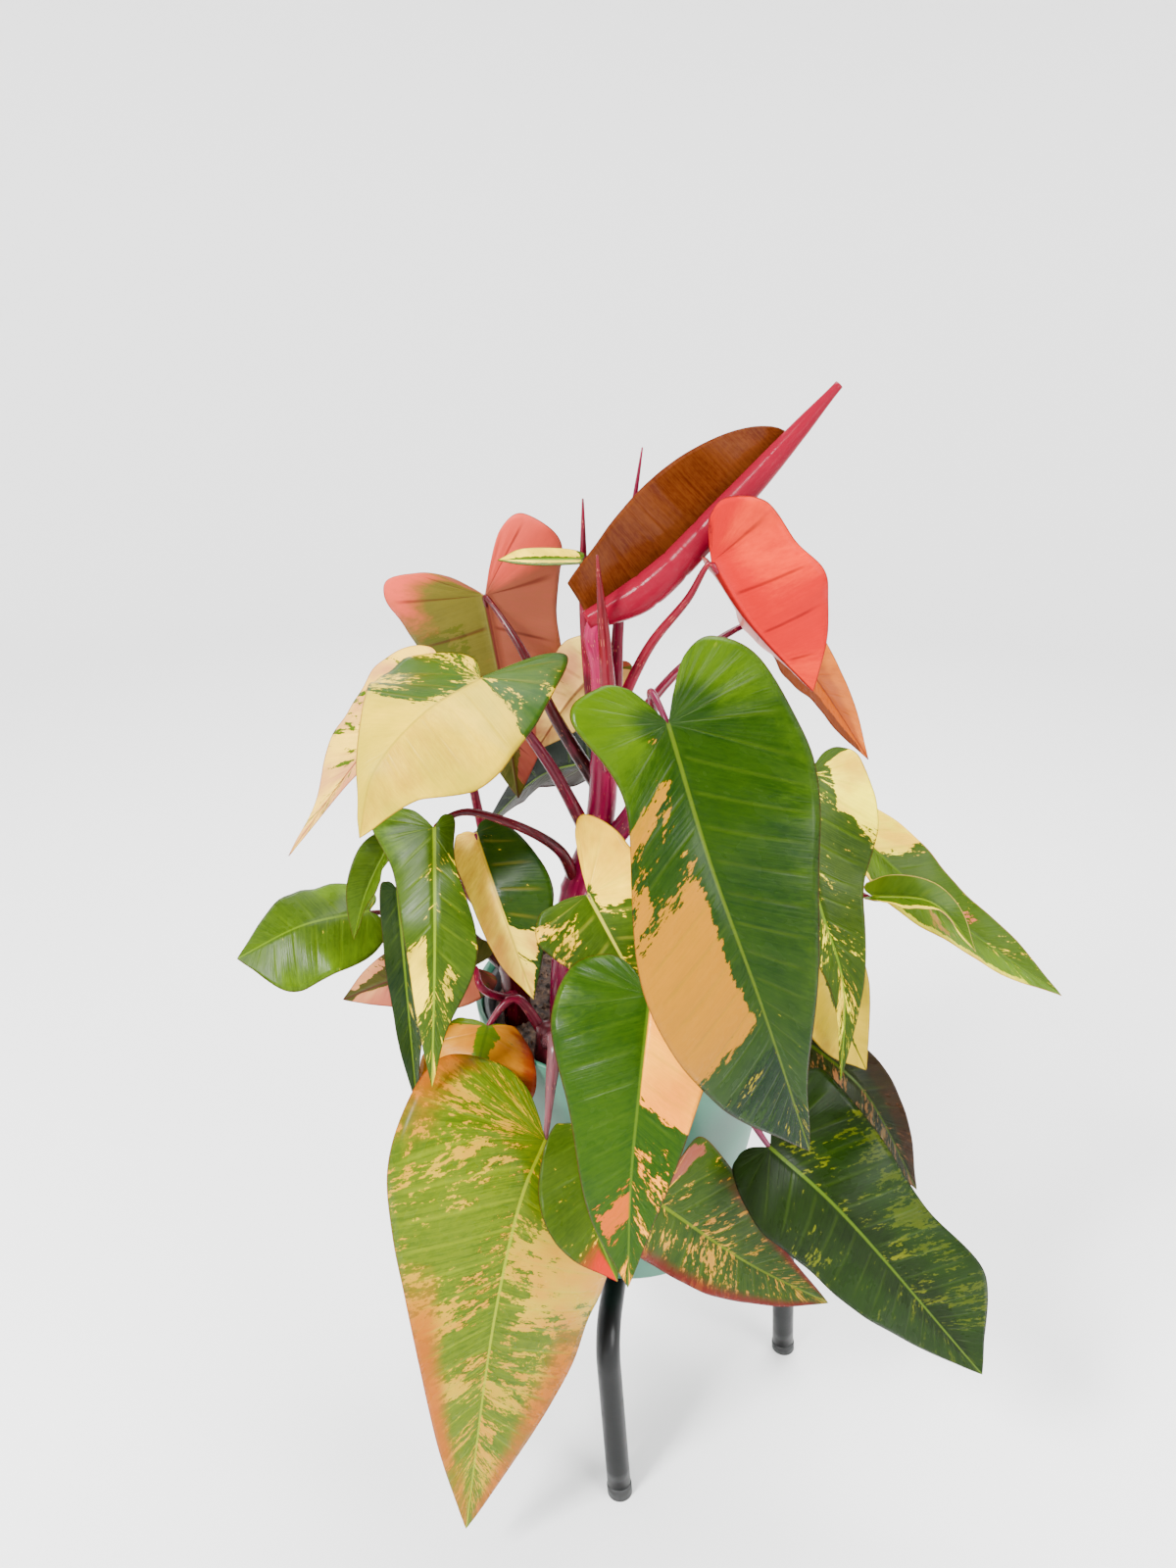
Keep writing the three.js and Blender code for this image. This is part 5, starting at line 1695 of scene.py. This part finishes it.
def plant_stems(leaves: dict[str, Leaf]) -> list[Stem]:
    """Lays out the stems with the stalks of their leaves.

    Args:
        leaves: The leaves by name, for the places where their stalks end.

    Returns:
        The stems.
    """

    def to(leaf: str, *route: Point, **look: object) -> Stalk:
        """Makes the stalk of one leaf."""
        return leaf_stalk(route, leaves[leaf], **look)

    main = [
        Stalk(
            (
                (-42, -38, 290), (-43, -32, 350), (-36, -24, 416), (-22, -18, 456), (-18, -14, 500),
                (-18, -12, 544),
            ),
            (9.8, 9.6, 9.4, 8.8, 8.0), "#6d0531", "#890539", 28, (0.42, 0.5, 0.66, 0.82),
        ),
        to("leaf_coral", (-16, -14, 520), (8, -10, 572), (29, -18, 603), foot="#640516", head="#6f051d"),
        to("leaf_copper", (-18, -14, 500), (30, 24, 548), (76, 50, 570)),
        to(
            "leaf_olive", (-18, -15, 478), (-48, 0, 524), (-70, 14, 566), radii=(5.0, 4.2, 3.4),
            foot="#290505", head="#44050b",
        ),
        to("leaf_sliver", (-20, -6, 540), (-22, 2, 600), radii=(3.0, 2.2, 1.6)),
        to(
            "leaf_yellow", (-26, -20, 450), (-50, -30, 504), (-76, -28, 542), radii=(5.0, 4.0, 3.4),
            foot="#4d0513", head="#5b0524",
        ),
        to("leaf_pale", (-18, -12, 500), (-20, 4, 530)),
        to(
            "leaf_drooping", (-36, -24, 424), (-46, -38, 453), (-74, -53, 478), (-102, -49, 483),
            foot="#44050b", head="#4c0513",
        ),
        to(
            "leaf_front", (-30, -22, 430), (0, -34, 478), (6, -90, 560), (4, -120, 582),
            radii=(8.0, 6.4, 4.8, 4.0), foot="#63052b", head="#4b0521",
        ),
        Stalk(
            ((-14, -24, 500), (-17, -27, 560), (-23, -27, 630)), (5.2, 4.6, 3.6, 0.7), "#69051d",
            "#58050c",
        ),
        Stalk(((-24, -2, 520), (-30, 9, 590), (-31, 12, 654)), (4.8, 4.0, 2.8, 0.6), "#69051d", "#5b051d"),
        Stalk(((-12, -2, 520), (-9, 12, 590), (3, 17, 682)), (4.8, 3.6, 2.4, 0.5), "#5d051a", "#70052b"),
        Stalk(
            ((-18, -13, 530), (-20, -11, 560), (-24, -10.5, 580), (-22, -10, 588)), (7.8, 7.4, 7.0, 6.0),
            "#780531", "#8f053f", 24,
        ),
    ]
    left = [
        Stalk(
            ((-74, -18, 290), (-76, -16, 340), (-84, -14, 400)), (9.6, 8.8, 8.0), "#390505", "#4c0513", 24,
            (0.3, 0.6),
        ),
        to("leaf_pink", (-82, -14, 380), (-100, 6, 470), (-112, 14, 536)),
        to("leaf_small", (-80, -15, 370), (-118, -10, 430)),
        to("leaf_far_left", (-78, -16, 350), (-120, -14, 390), foot="#1f0505", head="#360505"),
        to("leaf_narrow", (-80, -18, 380), (-116, -34, 432)),
        to("leaf_grey", (-76, -18, 336), (-82, -46, 352), (-94, -64, 372)),
        to("leaf_cream_fold", (-82, -16, 390), (-94, -20, 440), foot="#44050b", head="#580524"),
    ]
    right = [
        Stalk(
            ((34, 6, 290), (36, 4, 360), (40, 2, 420)), (9.6, 8.8, 8.0), "#44050b", "#580521", 24,
            (0.4, 0.7),
        ),
        to("leaf_right", (40, 2, 400), (80, 4, 474)),
        to("leaf_right_yellow", (36, 2, 350), (80, -4, 392)),
        to("leaf_right_long", (38, 6, 380), (90, 12, 436)),
        to("leaf_right_curled", (38, 6, 374), (110, 0, 420)),
        to("leaf_back", (38, 6, 410), (10, 34, 452)),
        to("leaf_behind_right", (36, 0, 340), (76, -14, 354), (104, -20, 334)),
    ]
    front = [
        Stalk(((-2, -48, 290), (-2, -50, 340)), (9.6, 9.0, 7.0), "#4d2521", "#581226", 24, (0.6,)),
        to("leaf_centre", (-2, -52, 336), (-18, -58, 400), foot="#592831", head="#6b333e"),
        to(
            "leaf_front_centre", (0, -52, 330), (24, -84, 390), (21, -112, 424), foot="#59232b",
            head="#642034",
        ),
        to(
            "leaf_low_right", (4, -54, 330), (41, -92, 338), (61, -107, 321), radii=(5.0, 4.4, 4.0, 3.4),
            foot="#4c1324", head="#6a233e",
        ),
        to("leaf_low_centre", (0, -56, 330), (-10, -90, 352), (-6, -112, 318)),
        to(
            "leaf_under_left", (-6, -56, 330), (-28, -90, 352), (-34, -114, 342), foot="#2b0505",
            head="#41050b",
        ),
    ]
    low_left = [
        Stalk(((-53, -57, 290), (-54, -60, 340)), (9.6, 8.6, 6.6), "#4d2521", "#58242b", 24, (0.6,)),
        to(
            "leaf_low_left", (-53, -62, 330), (-48, -92, 350), (-50, -106, 331), radii=(5.4, 4.8, 4.2),
            foot="#59353a", head="#663c3f",
        ),
        to("leaf_orange", (-54, -58, 330), (-74, -56, 358)),
    ]
    names = ("stem_main", "stem_left", "stem_right", "stem_front", "stem_low_left")
    return [Stem(name, parts) for name, parts in zip(names, (main, left, right, front, low_left))]


# Studio


@dataclass
class Studio:
    """A pale floor that curves up into a wall all round, soft lamps and the camera."""

    radius: float = 3000
    wall: float = 3600
    eye: Point = (-28, -677.4, 777)
    pitch: float = 23.7
    focal: float = 27.1
    paper: str = "#e8e8e8"
    sweep: float = 900
    sides: int = 96

    def floor(self) -> Object:
        """Makes the paper sweep.

        Returns:
            The new object.
        """
        turns = np.linspace(0, math.pi / 2, 14)
        edge, bend = self.radius - self.sweep, self.sweep
        arc = [(edge + bend * math.sin(a), bend - bend * math.cos(a)) for a in turns]
        rows = np.array([(0, 0), (self.radius / 2, 0), *arc, (self.radius, self.wall)], float)
        angle = np.linspace(0, 2 * math.pi, self.sides, endpoint=False)
        x, y = rows[:, :1] * np.cos(angle), rows[:, :1] * np.sin(angle)
        points = np.stack([x, y, np.repeat(rows[:, 1:], self.sides, 1)], -1)
        index = np.arange(len(rows) * self.sides).reshape(len(rows), self.sides)
        beside = np.roll(index, -1, 1)
        quads = np.stack([index[:-1], beside[:-1], beside[1:], index[1:]], -1).reshape(-1, 4)
        kept, _, faces = welded(points.reshape(-1, 3), quads)
        mesh = bpy.data.meshes.new("paper_sweep")
        mesh.from_pydata((points.reshape(-1, 3)[kept] * MM).tolist(), [], faces)
        mesh.polygons.foreach_set("use_smooth", [True] * len(mesh.polygons))
        recipe = Recipe("studio_paper")
        grain = recipe.noise(recipe.place(), (3.0, 3.0, 3.0), 2)
        mesh.materials.append(recipe.surface({
            "Base Color": linear(self.paper), "Roughness": 0.9, "Normal": recipe.bump(grain, 0.05, 0.3),
        }))
        sweep = bpy.data.objects.new("paper_sweep", mesh)
        bpy.context.scene.collection.objects.link(sweep)
        return sweep

    def lamp(self, name: str, place: Point, aim: Point, size: float, power: float) -> None:
        """Hangs a square softbox.

        Args:
            name: The lamp's name.
            place: Where it hangs, in mm.
            aim: What it is turned to, in mm.
            size: Its side, in mm.
            power: Its power, in watts.
        """
        data = bpy.data.lights.new(name, "AREA")
        data.shape, data.size, data.energy = "SQUARE", size * MM, power
        lamp = bpy.data.objects.new(name, data)
        bpy.context.scene.collection.objects.link(lamp)
        at, to = np.array(place) * MM, np.array(aim) * MM
        lamp.location = at
        lamp.rotation_euler = Vector(to - at).to_track_quat("-Z", "Y").to_euler()

    def camera(self) -> Object:
        """Makes the camera at the viewing angle of the reference.

        Returns:
            The camera.
        """
        data = bpy.data.cameras.new("camera")
        data.sensor_width, data.lens, data.clip_start = 36.0, self.focal, 0.01
        camera = bpy.data.objects.new("camera", data)
        bpy.context.scene.collection.objects.link(camera)
        camera.location = (self.eye[0] * MM + POT[0], self.eye[1] * MM + POT[1], self.eye[2] * MM)
        camera.rotation_euler = (math.radians(90 - self.pitch), 0, 0)
        bpy.context.scene.camera = camera
        return camera

    def build(self) -> None:
        """Sets up the studio."""
        self.camera()
        self.floor()
        self.lamp("softbox_key", (-1500, -1300, 2300), (0, 0, 400), 620, 190)
        self.lamp("softbox_fill", (1700, -1500, 1500), (0, 0, 350), 1300, 80)
        self.lamp("softbox_top", (200, 700, 2500), (0, 0, 400), 1500, 120)
        world = bpy.data.worlds.new("studio_air")
        world.use_nodes = True
        back = world.node_tree.nodes["Background"]
        back.inputs[0].default_value, back.inputs[1].default_value = linear("#f4f5f6"), 0.4
        bpy.context.scene.world = world


def main() -> None:
    """Builds the studio, the pot, the stand and the plant."""
    logging.basicConfig(level=logging.INFO, format="%(message)s")
    Studio().build()
    pot = Pot()
    pot.planter()
    pot.nursery_pot()
    pot.soil()
    stand = Stand()
    stand.tubes()
    rubber = MouldedRubber().make()
    for quarter, place in enumerate(("front", "right", "back", "left")):
        stand.foot_cap(place, quarter, rubber)
    leaves = plant_leaves()
    for leaf in leaves.values():
        leaf.build()
    unfurling_leaf().build()
    skin = StalkSkin().make()
    for stem in plant_stems(leaves):
        stem.build(skin)
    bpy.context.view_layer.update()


if __name__ == "__main__":
    main()
